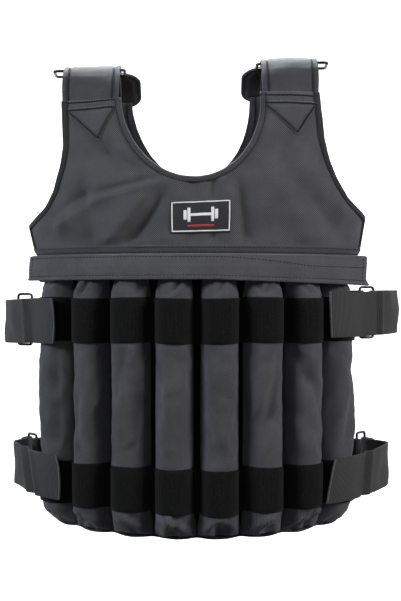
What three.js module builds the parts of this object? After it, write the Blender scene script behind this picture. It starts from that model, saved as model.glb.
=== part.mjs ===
// A weighted training vest: a front and a back half of padded cloth with filled weight pockets,
// joined over the shoulders and round the sides by webbing straps and wire rings.
// Millimetres. +Z is up, the front faces -Y, and +X is on the right as the front is looked at.
// The origin lies midway between the two shoulders, where the undersides of the straps rest.
import * as THREE from "three";

// Body
const VEST_LENGTH = 512;
const BODY_HALF_WIDTH = 165;
const BODY_HALF_DEPTH = 112;
const PANEL_THICKNESS = 3;
const CLEARANCE = 0.5;

// Pockets and what covers them
const POCKET_COUNT = 8;
const POCKET_PITCH = 46.5;
const POCKET_GROOVE = 4.5;
const POCKET_DEPTH = 25;
const POCKET_CROWN = 1.04;
const LOOP_BAND_HEIGHT = 47;
const LOOP_BAND_THICKNESS = 1.6;
const FLAP_THICKNESS = 2.6;
const SEAM_TAPE_THICKNESS = 1.4;
const LABEL_WIDTH = 64;
const LABEL_HEIGHT = 35;
const LABEL_THICKNESS = 0.9;
const LABEL_OFFSET = 4;
const BINDING_WIDTH = 3;
const HEM_BINDING_HEIGHT = 4.5;
const HEM_BINDING_DEPTH = 11;

// Shoulders
const SHOULDER_SPACING = 112;
const SHOULDER_STRAP_WIDTH = 60;
const SHOULDER_STRAP_THICKNESS = 3;
const STRAP_SEAT = 0.8;
const SHOULDER_ARCH_HEIGHT = 50;
const SHOULDER_RING_LENGTH = 84;
const SHOULDER_RING_SHIFT = 4.5;
const SHOULDER_RING_WIRE = 3.5;
const STRAP_RETURN = 14;
const BACK_STRAP_SHIFT = 22.5;
const BACK_STRAP_FLARE = 11;
const BACK_STRAP_CORNER = 14;

// Sides
const WEBBING_WIDTH = 50;
const WEBBING_THICKNESS = 2;
const SIDE_RING_HEIGHT = 64;
const SIDE_RING_WIDTH = 24;
const SIDE_RING_WIRE = 3.2;
const SIDE_RING_BACK = 66;
const SIDE_FOLD_BACK = 30;
const SIDE_FLANK_INSET = 14;
const SIDE_FLANK_FORWARD = 12;
const TAB_RETURN = 18;

// How the vest hangs in the photograph: shoulders to one side and tilted, hem low in the middle.
const SHOULDER_SWAY = -7.5;
const SHOULDER_RISE = 5;
const HEM_SAG = 12;
const HEM_TUCK = 0.012;

// Heights are shares of the vest's length below the shoulders.
const LEVEL = {
  backTop: 0.045,
  panelTop: 0.07,
  frontNeck: 0.26,
  backNeck: 0.232,
  swayEnd: 0.27,
  underarm: 0.343,
  label: 0.34,
  seamTop: 0.405,
  flapTop: 0.421,
  pocketTop: 0.444,
  bodyTop: 0.47,
  upperBand: 0.5075,
  upperBandEnd: 0.6,
  lowerBand: 0.856,
  tuckStart: 0.956,
  pocketEnd: 0.993,
  hem: 1,
};

// The body's oval at each height: width and depth are shares of its half width and half depth.
const SECTIONS = [
  { level: LEVEL.panelTop, widthShare: 1.22, depthShare: 0.54 },
  { level: 0.155, widthShare: 1.215, depthShare: 0.715 },
  { level: LEVEL.frontNeck, widthShare: 1.2, depthShare: 0.9 },
  { level: LEVEL.underarm, widthShare: 1.175, depthShare: 0.98 },
  { level: LEVEL.seamTop, widthShare: 1.13, depthShare: 1 },
  { level: LEVEL.bodyTop, widthShare: 0.985, depthShare: 1 },
  { level: LEVEL.hem, widthShare: 0.975, depthShare: 1 },
];

// The cut edge of each half, from the armhole to the hem, as a share of the oval's half width.
const EDGES = [
  { level: LEVEL.panelTop, edge: 0.7 },
  { level: 0.175, edge: 0.705 },
  { level: 0.218, edge: 0.733 },
  { level: LEVEL.swayEnd, edge: 0.782 },
  { level: 0.307, edge: 0.84 },
  { level: LEVEL.underarm, edge: 0.96 },
  { level: LEVEL.seamTop, edge: 0.965 },
  { level: LEVEL.bodyTop, edge: 0.958 },
  { level: LEVEL.hem, edge: 0.958 },
];

// Half of the neck's width at the shoulders.
const FRONT_NECK_HALF_WIDTH = 79.5;
const BACK_NECK_HALF_WIDTH = 73;

// How high each half reaches on the shoulders, how low its neck is and half of the neck's width.
const FRONT_NECK = { top: LEVEL.panelTop, level: LEVEL.frontNeck, halfWidth: FRONT_NECK_HALF_WIDTH };
const BACK_NECK = { top: LEVEL.backTop, level: LEVEL.backNeck, halfWidth: BACK_NECK_HALF_WIDTH };

// A pocket's outline across its width, as shares of its width and depth.
const POCKET_PROFILE = [
  { across: 0, out: 0 },
  { across: 0, out: 0.74 },
  { across: 0.06, out: 0.92 },
  { across: 0.2, out: 1 },
  { across: 0.5, out: POCKET_CROWN },
  { across: 0.8, out: 1 },
  { across: 0.94, out: 0.92 },
  { across: 1, out: 0.74 },
  { across: 1, out: 0 },
  { across: 0.5, out: 0 },
];

// How full a pocket is at each height.
const FRONT_POCKET_FILL = [
  { level: LEVEL.pocketTop, fill: 0.32 },
  { level: LEVEL.bodyTop, fill: 0.66 },
  { level: 0.49, fill: 0.9 },
  { level: LEVEL.upperBand, fill: 1 },
  { level: LEVEL.upperBandEnd, fill: 1 },
  { level: 0.74, fill: 1.04 },
  { level: LEVEL.lowerBand, fill: 1 },
  { level: LEVEL.tuckStart, fill: 1 },
  { level: 0.98, fill: 0.84 },
  { level: LEVEL.pocketEnd, fill: 0.5 },
];
const BACK_POCKET_FILL = [
  { level: LEVEL.pocketTop, fill: 0.32 },
  { level: LEVEL.bodyTop, fill: 0.66 },
  { level: LEVEL.upperBand, fill: 1 },
  { level: LEVEL.tuckStart, fill: 1 },
  { level: 0.98, fill: 0.84 },
  { level: LEVEL.pocketEnd, fill: 0.5 },
];

// The flap from its seam to its free edge: out is a share of the pocket depth,
// and flare is how much further the two ends stand out.
const FLAP_FALL = [
  { level: LEVEL.flapTop, out: 0.02, flare: 7 },
  { level: LEVEL.pocketTop, out: 0.5, flare: 6 },
  { level: LEVEL.bodyTop, out: 0.8, flare: 8 },
];

// Side straps. sewn is how far round the body the sewn end lies and lean how much it leans. reach is how
// far the loop stands out beyond the body, ring where its ring hangs, slip how far the ring has slid up and
// turn how far it has turned back, in degrees. rise is how much higher than its sewn end the loop is.
const SIDE_STRAPS = [
  {
    name: "upper_left", side: -1, level: 0.509, sewn: 147, lean: -2,
    reach: 60, ring: 43, slip: 1.6, turn: 31, rise: -2,
  },
  {
    name: "upper_right", side: 1, level: 0.4953, sewn: 133, lean: -2,
    reach: 69, ring: 39, slip: -1.6, turn: 31, rise: 2.5,
  },
  {
    name: "lower_left", side: -1, level: 0.8394, sewn: 141, lean: -4,
    reach: 49, ring: 34, slip: -1.6, turn: 56, rise: 1.5,
  },
  {
    name: "lower_right", side: 1, level: 0.8465, sewn: 134, lean: 11,
    reach: 58, ring: 32, slip: 1.6, turn: 56, rise: 4,
  },
];

// Finishes
const CLOTH = { color: 0x3c3c41, roughness: 0.85, metalness: 0 };
const LOOP_PILE = { color: 0x161616, roughness: 1, metalness: 0 };
const TAPE = { color: 0x26272a, roughness: 0.9, metalness: 0 };
const WEBBING = { color: 0x303235, roughness: 0.8, metalness: 0 };
const WIRE = { color: 0x2c2d30, roughness: 0.35, metalness: 1 };
const LABEL = { color: 0x1b1b1d, roughness: 0.7, metalness: 0 };

const vest = new THREE.Group();
const FRONT = -1;
const BACK = 1;
const HALF_TURN = Math.PI;
const QUARTER_TURN = Math.PI / 2;

// Small helpers

const clampShare = (value) => Math.min(1, Math.max(0, value));

function between(table, level, column) {
  const last = table.length - 1;
  if (level <= table[0].level) return table[0][column];
  for (let i = 1; i <= last; i++) {
    const low = table[i - 1];
    const high = table[i];
    if (level <= high.level) {
      const share = (level - low.level) / (high.level - low.level);
      return low[column] + share * (high[column] - low[column]);
    }
  }
  return table[last][column];
}

function spread(count, from, to) {
  return Array.from({ length: count + 1 }, (_, i) => from + ((to - from) * i) / count);
}

// The body's surface

// A point of one half at an angle round the oval from its middle, at a level, standing out by a distance.
function onBody(half, angle, level, out) {
  const a = BODY_HALF_WIDTH * between(SECTIONS, level, "widthShare");
  const b = BODY_HALF_DEPTH * between(SECTIONS, level, "depthShare");
  const normal = new THREE.Vector2(Math.sin(angle) / a, Math.cos(angle) / b).normalize();
  const x = a * Math.sin(angle) + out * normal.x;
  const y = b * Math.cos(angle) + out * normal.y;
  return new THREE.Vector3(x, half * y, -level * VEST_LENGTH);
}

// The angle at which the body's oval has run a given length from its middle.
function angleAt(length) {
  const step = 0.002;
  let angle = 0;
  let run = 0;
  while (run < Math.abs(length)) {
    const middle = angle + step / 2;
    run += step * Math.hypot(BODY_HALF_WIDTH * Math.cos(middle), BODY_HALF_DEPTH * Math.sin(middle));
    angle += step;
  }
  return Math.sign(length) * angle;
}

function edgeAngle(level) {
  return Math.asin(between(EDGES, level, "edge"));
}

// The way the vest hangs: one map for every point of every piece.
function hang(point) {
  const level = -point.z / VEST_LENGTH;
  const sway = clampShare((LEVEL.swayEnd - level) / (LEVEL.swayEnd - LEVEL.panelTop));
  const tilt = clampShare((LEVEL.seamTop - level) / (LEVEL.seamTop - LEVEL.underarm));
  const low = clampShare((level - LEVEL.lowerBand) / (LEVEL.hem - LEVEL.lowerBand));
  const tuck = 1 - HEM_TUCK * clampShare((level - LEVEL.tuckStart) / (LEVEL.hem - LEVEL.tuckStart));
  const across = Math.min(1.1, Math.abs(point.x) / BODY_HALF_WIDTH);
  const lean = THREE.MathUtils.clamp(point.x / SHOULDER_SPACING, -1, 1);
  const lift = HEM_SAG * across ** 2 * low ** 3 + SHOULDER_RISE * lean * tilt;
  return new THREE.Vector3(point.x * tuck + SHOULDER_SWAY * sway, point.y * tuck, point.z + lift);
}

// Meshes

function addMesh(name, points, triangles, finish) {
  const placed = points.map(hang);
  const geometry = new THREE.BufferGeometry();
  geometry.setAttribute("position", new THREE.Float32BufferAttribute(placed.flatMap((p) => p.toArray()), 3));
  geometry.setIndex(triangles.flat());
  geometry.computeVertexNormals();
  const mesh = new THREE.Mesh(geometry, new THREE.MeshStandardMaterial(finish));
  mesh.name = name;
  vest.add(mesh);
}

// Twice the signed volume inside a list of triangles, positive when they face out.
function faceOut(points, triangles) {
  const cross = new THREE.Vector3();
  let volume = 0;
  for (const [a, b, c] of triangles) volume += points[a].dot(cross.crossVectors(points[b], points[c]));
  return volume > 0 ? triangles : triangles.map(([a, b, c]) => [a, c, b]);
}

// A cloth wall between two matching sheets of points that share a list of four-sided faces.
function addWall(name, outer, inner, quads, finish) {
  const far = outer.length;
  const top = quads.flatMap(([a, b, c, d]) => [[a, b, c], [a, c, d]]);
  const edges = new Set(top.flatMap(([a, b, c]) => [`${a},${b}`, `${b},${c}`, `${c},${a}`]));
  const sides = [...edges]
    .map((edge) => edge.split(",").map(Number))
    .filter(([a, b]) => !edges.has(`${b},${a}`))
    .flatMap(([a, b]) => [[b, a, a + far], [b, a + far, b + far]]);
  const bottom = top.map(([a, b, c]) => [a + far, c + far, b + far]);
  const points = [...outer, ...inner];
  addMesh(name, points, faceOut(points, [...top, ...bottom, ...sides]), finish);
}

function gridQuads(rows, columns) {
  const quads = [];
  for (let i = 0; i < rows; i++) {
    for (let j = 0; j < columns; j++) {
      const a = i * (columns + 1) + j;
      quads.push([a, a + 1, a + columns + 2, a + columns + 1]);
    }
  }
  return quads;
}

// A solid through a row of outlines with as many points each, closed at both ends or joined in a ring.
function addLoft(name, outlines, finish, ring = false) {
  const count = outlines[0].length;
  const points = outlines.flat();
  const triangles = [];
  const spans = ring ? outlines.length : outlines.length - 1;
  for (let i = 0; i < spans; i++) {
    const here = i * count;
    const next = ((i + 1) % outlines.length) * count;
    for (let j = 0; j < count; j++) {
      const k = (j + 1) % count;
      triangles.push([here + j, here + k, next + k], [here + j, next + k, next + j]);
    }
  }
  if (!ring) {
    const last = (outlines.length - 1) * count;
    const start = capTriangles(outlines[0]);
    const end = capTriangles(outlines[outlines.length - 1]);
    triangles.push(...start.map(([a, b, c]) => [a, c, b]));
    triangles.push(...end.map(([a, b, c]) => [a + last, b + last, c + last]));
  }
  addMesh(name, points, faceOut(points, triangles), finish);
}

// Triangles that fill a flat outline, turning the same way as the outline does.
function capTriangles(outline) {
  const middle = outline.reduce((sum, p) => sum.add(p), new THREE.Vector3()).divideScalar(outline.length);
  const normal = new THREE.Vector3();
  outline.forEach((p, i) => {
    const next = outline[(i + 1) % outline.length];
    normal.add(p.clone().sub(middle).cross(next.clone().sub(middle)));
  });
  normal.normalize();
  const u = outline[1].clone().sub(outline[0]).normalize();
  const v = normal.clone().cross(u);
  const flat = outline.map((p) => new THREE.Vector2(p.clone().sub(middle).dot(u), p.clone().sub(middle).dot(v)));
  return THREE.ShapeUtils.triangulateShape(flat, []);
}

// A flat strap along a path. across(i) is the direction of its width there and width(i) how wide it is.
function addStrap(name, path, across, width, thickness, finish) {
  const outlines = path.map((point, i) => {
    const before = path[Math.max(0, i - 1)];
    const after = path[Math.min(path.length - 1, i + 1)];
    const side = across(i).clone().normalize();
    const normal = after.clone().sub(before).normalize().cross(side).normalize();
    const half = width(i) / 2;
    return [[-half, -1], [half, -1], [half, 1], [-half, 1]].map(([w, n]) =>
      point.clone().addScaledVector(side, w).addScaledVector(normal, (n * thickness) / 2));
  });
  addLoft(name, outlines, finish);
}

// A wire ring round a rectangle with rounded corners, in the plane of two directions.
function addWireRing(name, middle, along, up, length, height, wire) {
  const corner = Math.min(length, height) * 0.22;
  const normal = along.clone().cross(up).normalize();
  const sides = 6;
  const outlines = [];
  for (let quarter = 0; quarter < 4; quarter++) {
    for (const share of spread(3, 0, 1)) {
      const turn = (quarter + share) * QUARTER_TURN;
      const u = Math.sign(Math.cos((quarter + 0.5) * QUARTER_TURN)) * (length / 2 - wire / 2 - corner);
      const v = Math.sign(Math.sin((quarter + 0.5) * QUARTER_TURN)) * (height / 2 - wire / 2 - corner);
      const outward = along.clone().multiplyScalar(Math.cos(turn)).addScaledVector(up, Math.sin(turn));
      const centre = middle.clone().addScaledVector(along, u).addScaledVector(up, v);
      centre.addScaledVector(outward, corner);
      outlines.push(
        spread(sides, 0, 2 * HALF_TURN).slice(0, sides).map((a) =>
          centre.clone().addScaledVector(outward, (wire / 2) * Math.cos(a))
            .addScaledVector(normal, (wire / 2) * Math.sin(a))),
      );
    }
  }
  addLoft(name, outlines, WIRE, true);
}

// Panels

// Levels of the rows above the neck, and the neck's half width at each, on a quarter of an ellipse.
function neckRows(neck) {
  return spread(6, 0, QUARTER_TURN).map((turn) => ({
    level: neck.level - (neck.level - neck.top) * (1 - Math.cos(turn)),
    x: neck.halfWidth * Math.sin(turn),
  }));
}

function neckAngle(row) {
  return Math.asin(row.x / (BODY_HALF_WIDTH * between(SECTIONS, row.level, "widthShare")));
}

// Angles of the columns across one half: two for each pocket, drawn to the cut edge at every level.
const POCKET_RUN = (POCKET_COUNT / 2) * POCKET_PITCH;
const COLUMN_ANGLES = spread(2 * POCKET_COUNT, -POCKET_RUN, POCKET_RUN).map(angleAt);
const RUN_ANGLE = angleAt(POCKET_RUN);

function bodyLevels(neckLevel) {
  const fixed = [LEVEL.hem, LEVEL.tuckStart, LEVEL.lowerBand, 0.74, LEVEL.upperBandEnd, LEVEL.bodyTop];
  const chest = [LEVEL.seamTop, 0.374, LEVEL.underarm, 0.307, LEVEL.swayEnd];
  return [...fixed, ...chest, neckLevel];
}

function panelAngle(column, level) {
  return (COLUMN_ANGLES[column] * edgeAngle(level)) / RUN_ANGLE;
}

function addPanel(name, half, neck) {
  const columns = COLUMN_ANGLES.length;
  const middle = (columns - 1) / 2;
  const levels = bodyLevels(neck.level);
  const params = levels.flatMap((level) => COLUMN_ANGLES.map((_, j) => ({ angle: panelAngle(j, level), level })));
  const quads = gridQuads(levels.length - 1, columns - 1);
  const neckRow = (levels.length - 1) * columns;
  for (const side of [-1, 1]) {
    let previous = spread(middle, 0, middle).map((j) => neckRow + (side < 0 ? j : middle + j));
    for (const row of neckRows(neck).slice(1)) {
      const inner = neckAngle(row);
      const outer = edgeAngle(row.level);
      const first = params.length;
      for (const share of spread(middle, 0, 1)) {
        const angle = side < 0 ? -outer + share * (outer - inner) : inner + share * (outer - inner);
        params.push({ angle, level: row.level });
      }
      const current = spread(middle, first, first + middle);
      for (let j = 0; j < middle; j++) quads.push([previous[j], previous[j + 1], current[j + 1], current[j]]);
      previous = current;
    }
  }
  const outer = params.map((p) => onBody(half, p.angle, p.level, PANEL_THICKNESS));
  const inner = params.map((p) => onBody(half, p.angle, p.level, 0));
  addWall(name, outer, inner, quads, CLOTH);
}

// Bindings

// A tape along the panel's edge. Each station gives the edge's angle and level, and which way is outward.
function addBinding(name, half, stations) {
  const middle = PANEL_THICKNESS / 2;
  const edge = stations.map((s) => onBody(half, s.angle, s.level, middle));
  const outlines = stations.map((station, i) => {
    const along = edge[Math.min(edge.length - 1, i + 1)].clone().sub(edge[Math.max(0, i - 1)]).normalize();
    const face = onBody(half, station.angle, station.level, middle + 1).sub(edge[i]).normalize();
    const outward = along.clone().cross(face).normalize().multiplyScalar(station.outward);
    const reach = [CLEARANCE, CLEARANCE + BINDING_WIDTH];
    const depth = PANEL_THICKNESS / 2 + 0.2;
    return [[reach[0], -depth], [reach[1], -depth], [reach[1], depth], [reach[0], depth]].map(([u, v]) =>
      edge[i].clone().addScaledVector(outward, u).addScaledVector(face, v));
  });
  addLoft(name, outlines, TAPE);
}

function addBindings(prefix, half, neck) {
  const rows = neckRows(neck);
  const outward = half;
  const left = rows.slice(1).reverse().map((row) => ({ angle: -neckAngle(row), level: row.level, outward }));
  const right = rows.map((row) => ({ angle: neckAngle(row), level: row.level, outward }));
  addBinding(`${prefix}_neck_binding`, half, [...left, ...right]);
  const armhole = [...rows.slice(1).reverse().map((row) => row.level), LEVEL.swayEnd, 0.307, LEVEL.underarm];
  for (const [label, side] of [["left", -1], ["right", 1]]) {
    const stations = armhole.map((level) => ({ angle: side * edgeAngle(level), level, outward: side * outward }));
    addBinding(`${prefix}_armhole_binding_${label}`, half, stations);
  }
  addHemBinding(`${prefix}_hem_binding`, half);
}

function addHemBinding(name, half) {
  const gap = CLEARANCE / VEST_LENGTH;
  const height = HEM_BINDING_HEIGHT / VEST_LENGTH;
  const corners = [[gap, -0.6], [gap + height, -0.6], [gap + height, HEM_BINDING_DEPTH], [gap, HEM_BINDING_DEPTH]];
  const outlines = COLUMN_ANGLES.map((angle) =>
    corners.map(([down, out]) => onBody(half, angle, LEVEL.hem + down, out)));
  addLoft(name, outlines, TAPE);
}

// Pockets and bands

const POCKET_SEAT = PANEL_THICKNESS + CLEARANCE;

function pocketAngle(index, across) {
  const start = (index - POCKET_COUNT / 2) * POCKET_PITCH + POCKET_GROOVE / 2;
  return angleAt(start + across * (POCKET_PITCH - POCKET_GROOVE));
}

function addPockets(prefix, half, fill) {
  for (let index = 0; index < POCKET_COUNT; index++) {
    const outline = POCKET_PROFILE.map((point) => ({ angle: pocketAngle(index, point.across), out: point.out }));
    const outlines = fill.map((row) =>
      outline.map((p) => onBody(half, p.angle, row.level, POCKET_SEAT + p.out * POCKET_DEPTH * row.fill)));
    addLoft(`${prefix}_pocket_${index + 1}`, outlines, CLOTH);
  }
}

// The face of the pockets as a wavy line round the body, for what lies on them.
function pocketFace() {
  const line = [];
  const face = POCKET_PROFILE.slice(2, 7);
  for (let index = 0; index < POCKET_COUNT; index++) {
    for (const point of face) line.push({ angle: pocketAngle(index, point.across), out: point.out * POCKET_DEPTH });
    if (index < POCKET_COUNT - 1) {
      const groove = (index + 1 - POCKET_COUNT / 2) * POCKET_PITCH;
      line.push({ angle: angleAt(groove), out: 0.7 * POCKET_DEPTH });
    }
  }
  return line;
}

function addLoopBand(name, level) {
  const line = pocketFace();
  const levels = spread(1, level, level + LOOP_BAND_HEIGHT / VEST_LENGTH);
  const seat = POCKET_SEAT + CLEARANCE;
  const sheet = (lift) => levels.flatMap((z) => line.map((p) => onBody(FRONT, p.angle, z, seat + p.out + lift)));
  addWall(name, sheet(LOOP_BAND_THICKNESS), sheet(0), gridQuads(1, line.length - 1), LOOP_PILE);
}

// Flap, seam tape and label

function addFlap(name, half) {
  const columns = 16;
  const angles = spread(columns, -RUN_ANGLE, RUN_ANGLE);
  const sheet = (lift) =>
    FLAP_FALL.flatMap((row) =>
      angles.map((angle) => {
        const flare = row.flare * (angle / RUN_ANGLE) ** 4;
        return onBody(half, angle, row.level, POCKET_SEAT + row.out * POCKET_DEPTH + flare + lift);
      }));
  addWall(name, sheet(FLAP_THICKNESS), sheet(0), gridQuads(FLAP_FALL.length - 1, columns), CLOTH);
}

function addSeamTape(name, half) {
  const levels = [LEVEL.seamTop, LEVEL.flapTop - CLEARANCE / VEST_LENGTH];
  const sheet = (lift) =>
    levels.flatMap((level) => COLUMN_ANGLES.map((_, j) => onBody(half, panelAngle(j, level), level, POCKET_SEAT + lift)));
  addWall(name, sheet(SEAM_TAPE_THICKNESS), sheet(0), gridQuads(1, COLUMN_ANGLES.length - 1), TAPE);
}

function addLabel() {
  const columns = 4;
  const a = BODY_HALF_WIDTH * between(SECTIONS, LEVEL.label, "widthShare");
  const half = LABEL_HEIGHT / 2 / VEST_LENGTH;
  const xs = spread(columns, LABEL_OFFSET - LABEL_WIDTH / 2, LABEL_OFFSET + LABEL_WIDTH / 2);
  const levels = spread(2, LEVEL.label - half, LEVEL.label + half);
  const sheet = (lift) =>
    levels.flatMap((level) => xs.map((x) => onBody(FRONT, Math.asin(x / a), level, POCKET_SEAT + lift)));
  addWall("chest_label", sheet(LABEL_THICKNESS), sheet(0), gridQuads(2, columns), LABEL);
}

// Shoulders

// Turns and lifts on the shoulder arch: turn 0 is its foot in front, a quarter turn its top.
const RING_TURN = { front: THREE.MathUtils.degToRad(83), back: THREE.MathUtils.degToRad(108) };
const WIRE_GAP = SHOULDER_RING_WIRE / 2 + 0.4 + SHOULDER_STRAP_THICKNESS / 2;
const LOW_LAYER = SHOULDER_STRAP_THICKNESS / 2;
const RING_LIFT = LOW_LAYER + WIRE_GAP;
const HIGH_LAYER = RING_LIFT + WIRE_GAP;

// How far the arch stands in front of the middle at its foot.
function archReach(x) {
  const a = BODY_HALF_WIDTH * between(SECTIONS, LEVEL.panelTop, "widthShare");
  const b = BODY_HALF_DEPTH * between(SECTIONS, LEVEL.panelTop, "depthShare");
  const foot = Math.asin(clampShare(1 - (LEVEL.panelTop * VEST_LENGTH) / SHOULDER_ARCH_HEIGHT));
  return (b * Math.sqrt(1 - (x / a) ** 2)) / Math.cos(foot) - STRAP_SEAT - SHOULDER_STRAP_THICKNESS;
}

// Near the arch's top both edges of a strap reach as far as its middle does, so that it can turn round a wire.
function onArch(x, turn, lift) {
  const level = clampShare((Math.sin(turn) - 0.3) / 0.45);
  const reach = THREE.MathUtils.lerp(archReach(x), archReach(SHOULDER_SPACING), level);
  const y = -(reach + lift) * Math.cos(turn);
  return new THREE.Vector3(x, y, -SHOULDER_ARCH_HEIGHT + (SHOULDER_ARCH_HEIGHT + lift) * Math.sin(turn));
}

// The part of a strap that lies behind its panel, from its sewn end up to the panel's top edge.
function behindPanel(half, x) {
  return [0.145, 0.11, 0.08].map((level) => {
    const a = BODY_HALF_WIDTH * between(SECTIONS, level, "widthShare");
    return onBody(half, Math.asin(x / a), level, -STRAP_SEAT - SHOULDER_STRAP_THICKNESS / 2);
  });
}

// Points round a wire, turning about the x axis from one direction to another.
function roundWire(wire, from, to, radius) {
  return spread(5, from, to).map((turn) =>
    wire.clone().add(new THREE.Vector3(0, radius * Math.cos(turn), radius * Math.sin(turn))));
}

// The two edges of a strap give the directions of its width and its middle line.
function addStrapFromEdges(name, inner, outer, width, finish) {
  const middle = inner.map((p, i) => p.clone().add(outer[i]).multiplyScalar(0.5));
  const across = (i) => outer[i].clone().sub(inner[i]);
  addStrap(name, middle, across, width, SHOULDER_STRAP_THICKNESS, finish);
}

function frontStrapEdge(x) {
  const path = behindPanel(FRONT, x);
  for (const degrees of [20, 30, 40, 50, 60, 68]) {
    const rise = clampShare((degrees - 24) / 52);
    path.push(onArch(x, THREE.MathUtils.degToRad(degrees), LOW_LAYER + rise * (HIGH_LAYER - LOW_LAYER)));
  }
  const wire = onArch(x, RING_TURN.front, RING_LIFT);
  const lean = QUARTER_TURN - RING_TURN.front;
  path.push(...roundWire(wire, QUARTER_TURN + lean, -QUARTER_TURN + lean, WIRE_GAP));
  path.push(onArch(x, RING_TURN.front - STRAP_RETURN / SHOULDER_ARCH_HEIGHT, LOW_LAYER));
  return path;
}

function backStrapEdge(x, shift) {
  const path = behindPanel(BACK, x);
  for (const degrees of [160, 148, 136, 124]) path.push(onArch(x, THREE.MathUtils.degToRad(degrees), LOW_LAYER));
  const wire = onArch(x, RING_TURN.back, RING_LIFT);
  const lean = QUARTER_TURN - RING_TURN.back;
  path.push(...roundWire(wire, 3 * QUARTER_TURN + lean, QUARTER_TURN + lean, WIRE_GAP));
  spread(5, 118, 160).forEach((degrees, i) => {
    const share = (i + 1) / 6;
    const aside = new THREE.Vector3(shift * clampShare(4 * share), 0, 0);
    path.push(onArch(x, THREE.MathUtils.degToRad(degrees), HIGH_LAYER + BACK_STRAP_FLARE * share).add(aside));
  });
  return path;
}

// The back strap's free end has rounded corners.
function backStrapWidth(count) {
  return (i) => {
    const fromEnd = count - 1 - i;
    const shares = [0.62, 0.86, 0.97];
    const corner = 2 * BACK_STRAP_CORNER * (1 - (shares[fromEnd] ?? 1));
    return SHOULDER_STRAP_WIDTH - corner;
  };
}

function addShoulder(label, side) {
  const half = SHOULDER_STRAP_WIDTH / 2;
  const xs = [side * (SHOULDER_SPACING - half), side * (SHOULDER_SPACING + half)];
  const [frontInner, frontOuter] = xs.map(frontStrapEdge);
  addStrapFromEdges(`front_shoulder_strap_${label}`, frontInner, frontOuter, () => SHOULDER_STRAP_WIDTH, CLOTH);
  const [backInner, backOuter] = xs.map((x) => backStrapEdge(x, -side * BACK_STRAP_SHIFT));
  const width = backStrapWidth(backInner.length);
  addStrapFromEdges(`back_shoulder_strap_${label}`, backInner, backOuter, width, TAPE);
  const ringX = side * (SHOULDER_SPACING + SHOULDER_RING_SHIFT);
  const front = onArch(ringX, RING_TURN.front, RING_LIFT);
  const back = onArch(ringX, RING_TURN.back, RING_LIFT);
  const up = back.clone().sub(front);
  const height = up.length() + SHOULDER_RING_WIRE;
  const middle = front.add(back).multiplyScalar(0.5);
  up.normalize();
  addWireRing(`shoulder_ring_${label}`, middle, new THREE.Vector3(1, 0, 0), up, SHOULDER_RING_LENGTH, height,
    SHOULDER_RING_WIRE);
}

// Sides

// A smooth path through hand-chosen points of the plan, at one height.
function planCurve(points, count) {
  return new THREE.CatmullRomCurve3(points, false, "centripetal").getSpacedPoints(count);
}

// Points round an upright wire in the plan.
function roundPost(post, from, to, radius) {
  return spread(6, from, to).map((turn) =>
    post.clone().add(new THREE.Vector3(radius * Math.cos(turn), radius * Math.sin(turn), 0)));
}

function addSideStrap(row) {
  const { side } = row;
  const level = row.level + WEBBING_WIDTH / 2 / VEST_LENGTH;
  const onBand = LOOP_BAND_THICKNESS + 2 * CLEARANCE + WEBBING_THICKNESS / 2 + 0.6;
  const seat = POCKET_SEAT + POCKET_CROWN * POCKET_DEPTH + onBand;
  const runs = [row.sewn, row.sewn + 8, 160, 169, 177];
  const onPocket = runs.map((run) => onBody(FRONT, angleAt(side * run), level, seat));
  const z = -level * VEST_LENGTH + row.rise;
  const reach = BODY_HALF_WIDTH + row.reach;
  const fold = new THREE.Vector3(side * reach, SIDE_FOLD_BACK, z);
  const flank = new THREE.Vector3(side * (reach - SIDE_FLANK_INSET), -SIDE_FLANK_FORWARD, z - row.rise / 4);
  const ringMiddle = new THREE.Vector3(side * (BODY_HALF_WIDTH + row.ring), SIDE_RING_BACK, z);
  const turn = THREE.MathUtils.degToRad(row.turn);
  const ringLine = new THREE.Vector3(side * Math.cos(turn), Math.sin(turn), 0);
  const halfRing = (SIDE_RING_WIDTH - SIDE_RING_WIRE) / 2;
  const outerWire = ringMiddle.clone().addScaledVector(ringLine, halfRing);
  const innerWire = ringMiddle.clone().addScaledVector(ringLine, -halfRing);
  const radius = SIDE_RING_WIRE / 2 + 0.4 + WEBBING_THICKNESS / 2;

  // The strap leaves the pocket, folds at the side and closes round the ring's outer wire.
  const toward = fold.clone().sub(outerWire);
  const heading = Math.atan2(toward.y, toward.x);
  const outside = heading - side * QUARTER_TURN;
  const start = roundPost(outerWire, outside, outside - side * HALF_TURN, radius);
  const approach = start[0].clone().addScaledVector(toward.normalize(), 12);
  const free = planCurve([...onPocket, flank, fold, approach], 18);
  const backLayer = start[start.length - 1].clone().addScaledVector(toward, 13);
  const path = [...free, ...start, backLayer];
  // The sewn end leans with the strap, along the pocket's face.
  const leaning = (share) => {
    const run = side * (row.sewn + 4) + row.lean * share;
    return onBody(FRONT, angleAt(run), level - (share * WEBBING_WIDTH) / VEST_LENGTH, seat);
  };
  const lean = leaning(0.5).sub(leaning(-0.5));
  const upright = new THREE.Vector3(0, 0, 1);
  const across = (i) => (i < 2 ? lean : upright);
  addStrap(`side_strap_${row.name}`, path, across, () => WEBBING_WIDTH, WEBBING_THICKNESS, WEBBING);
  const slid = ringMiddle.clone().addScaledVector(upright, row.slip);
  addWireRing(`side_ring_${row.name}`, slid, ringLine, upright, SIDE_RING_WIDTH, SIDE_RING_HEIGHT, SIDE_RING_WIRE);
  addSideTab(row, level - row.rise / VEST_LENGTH, innerWire, radius);
}

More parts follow.
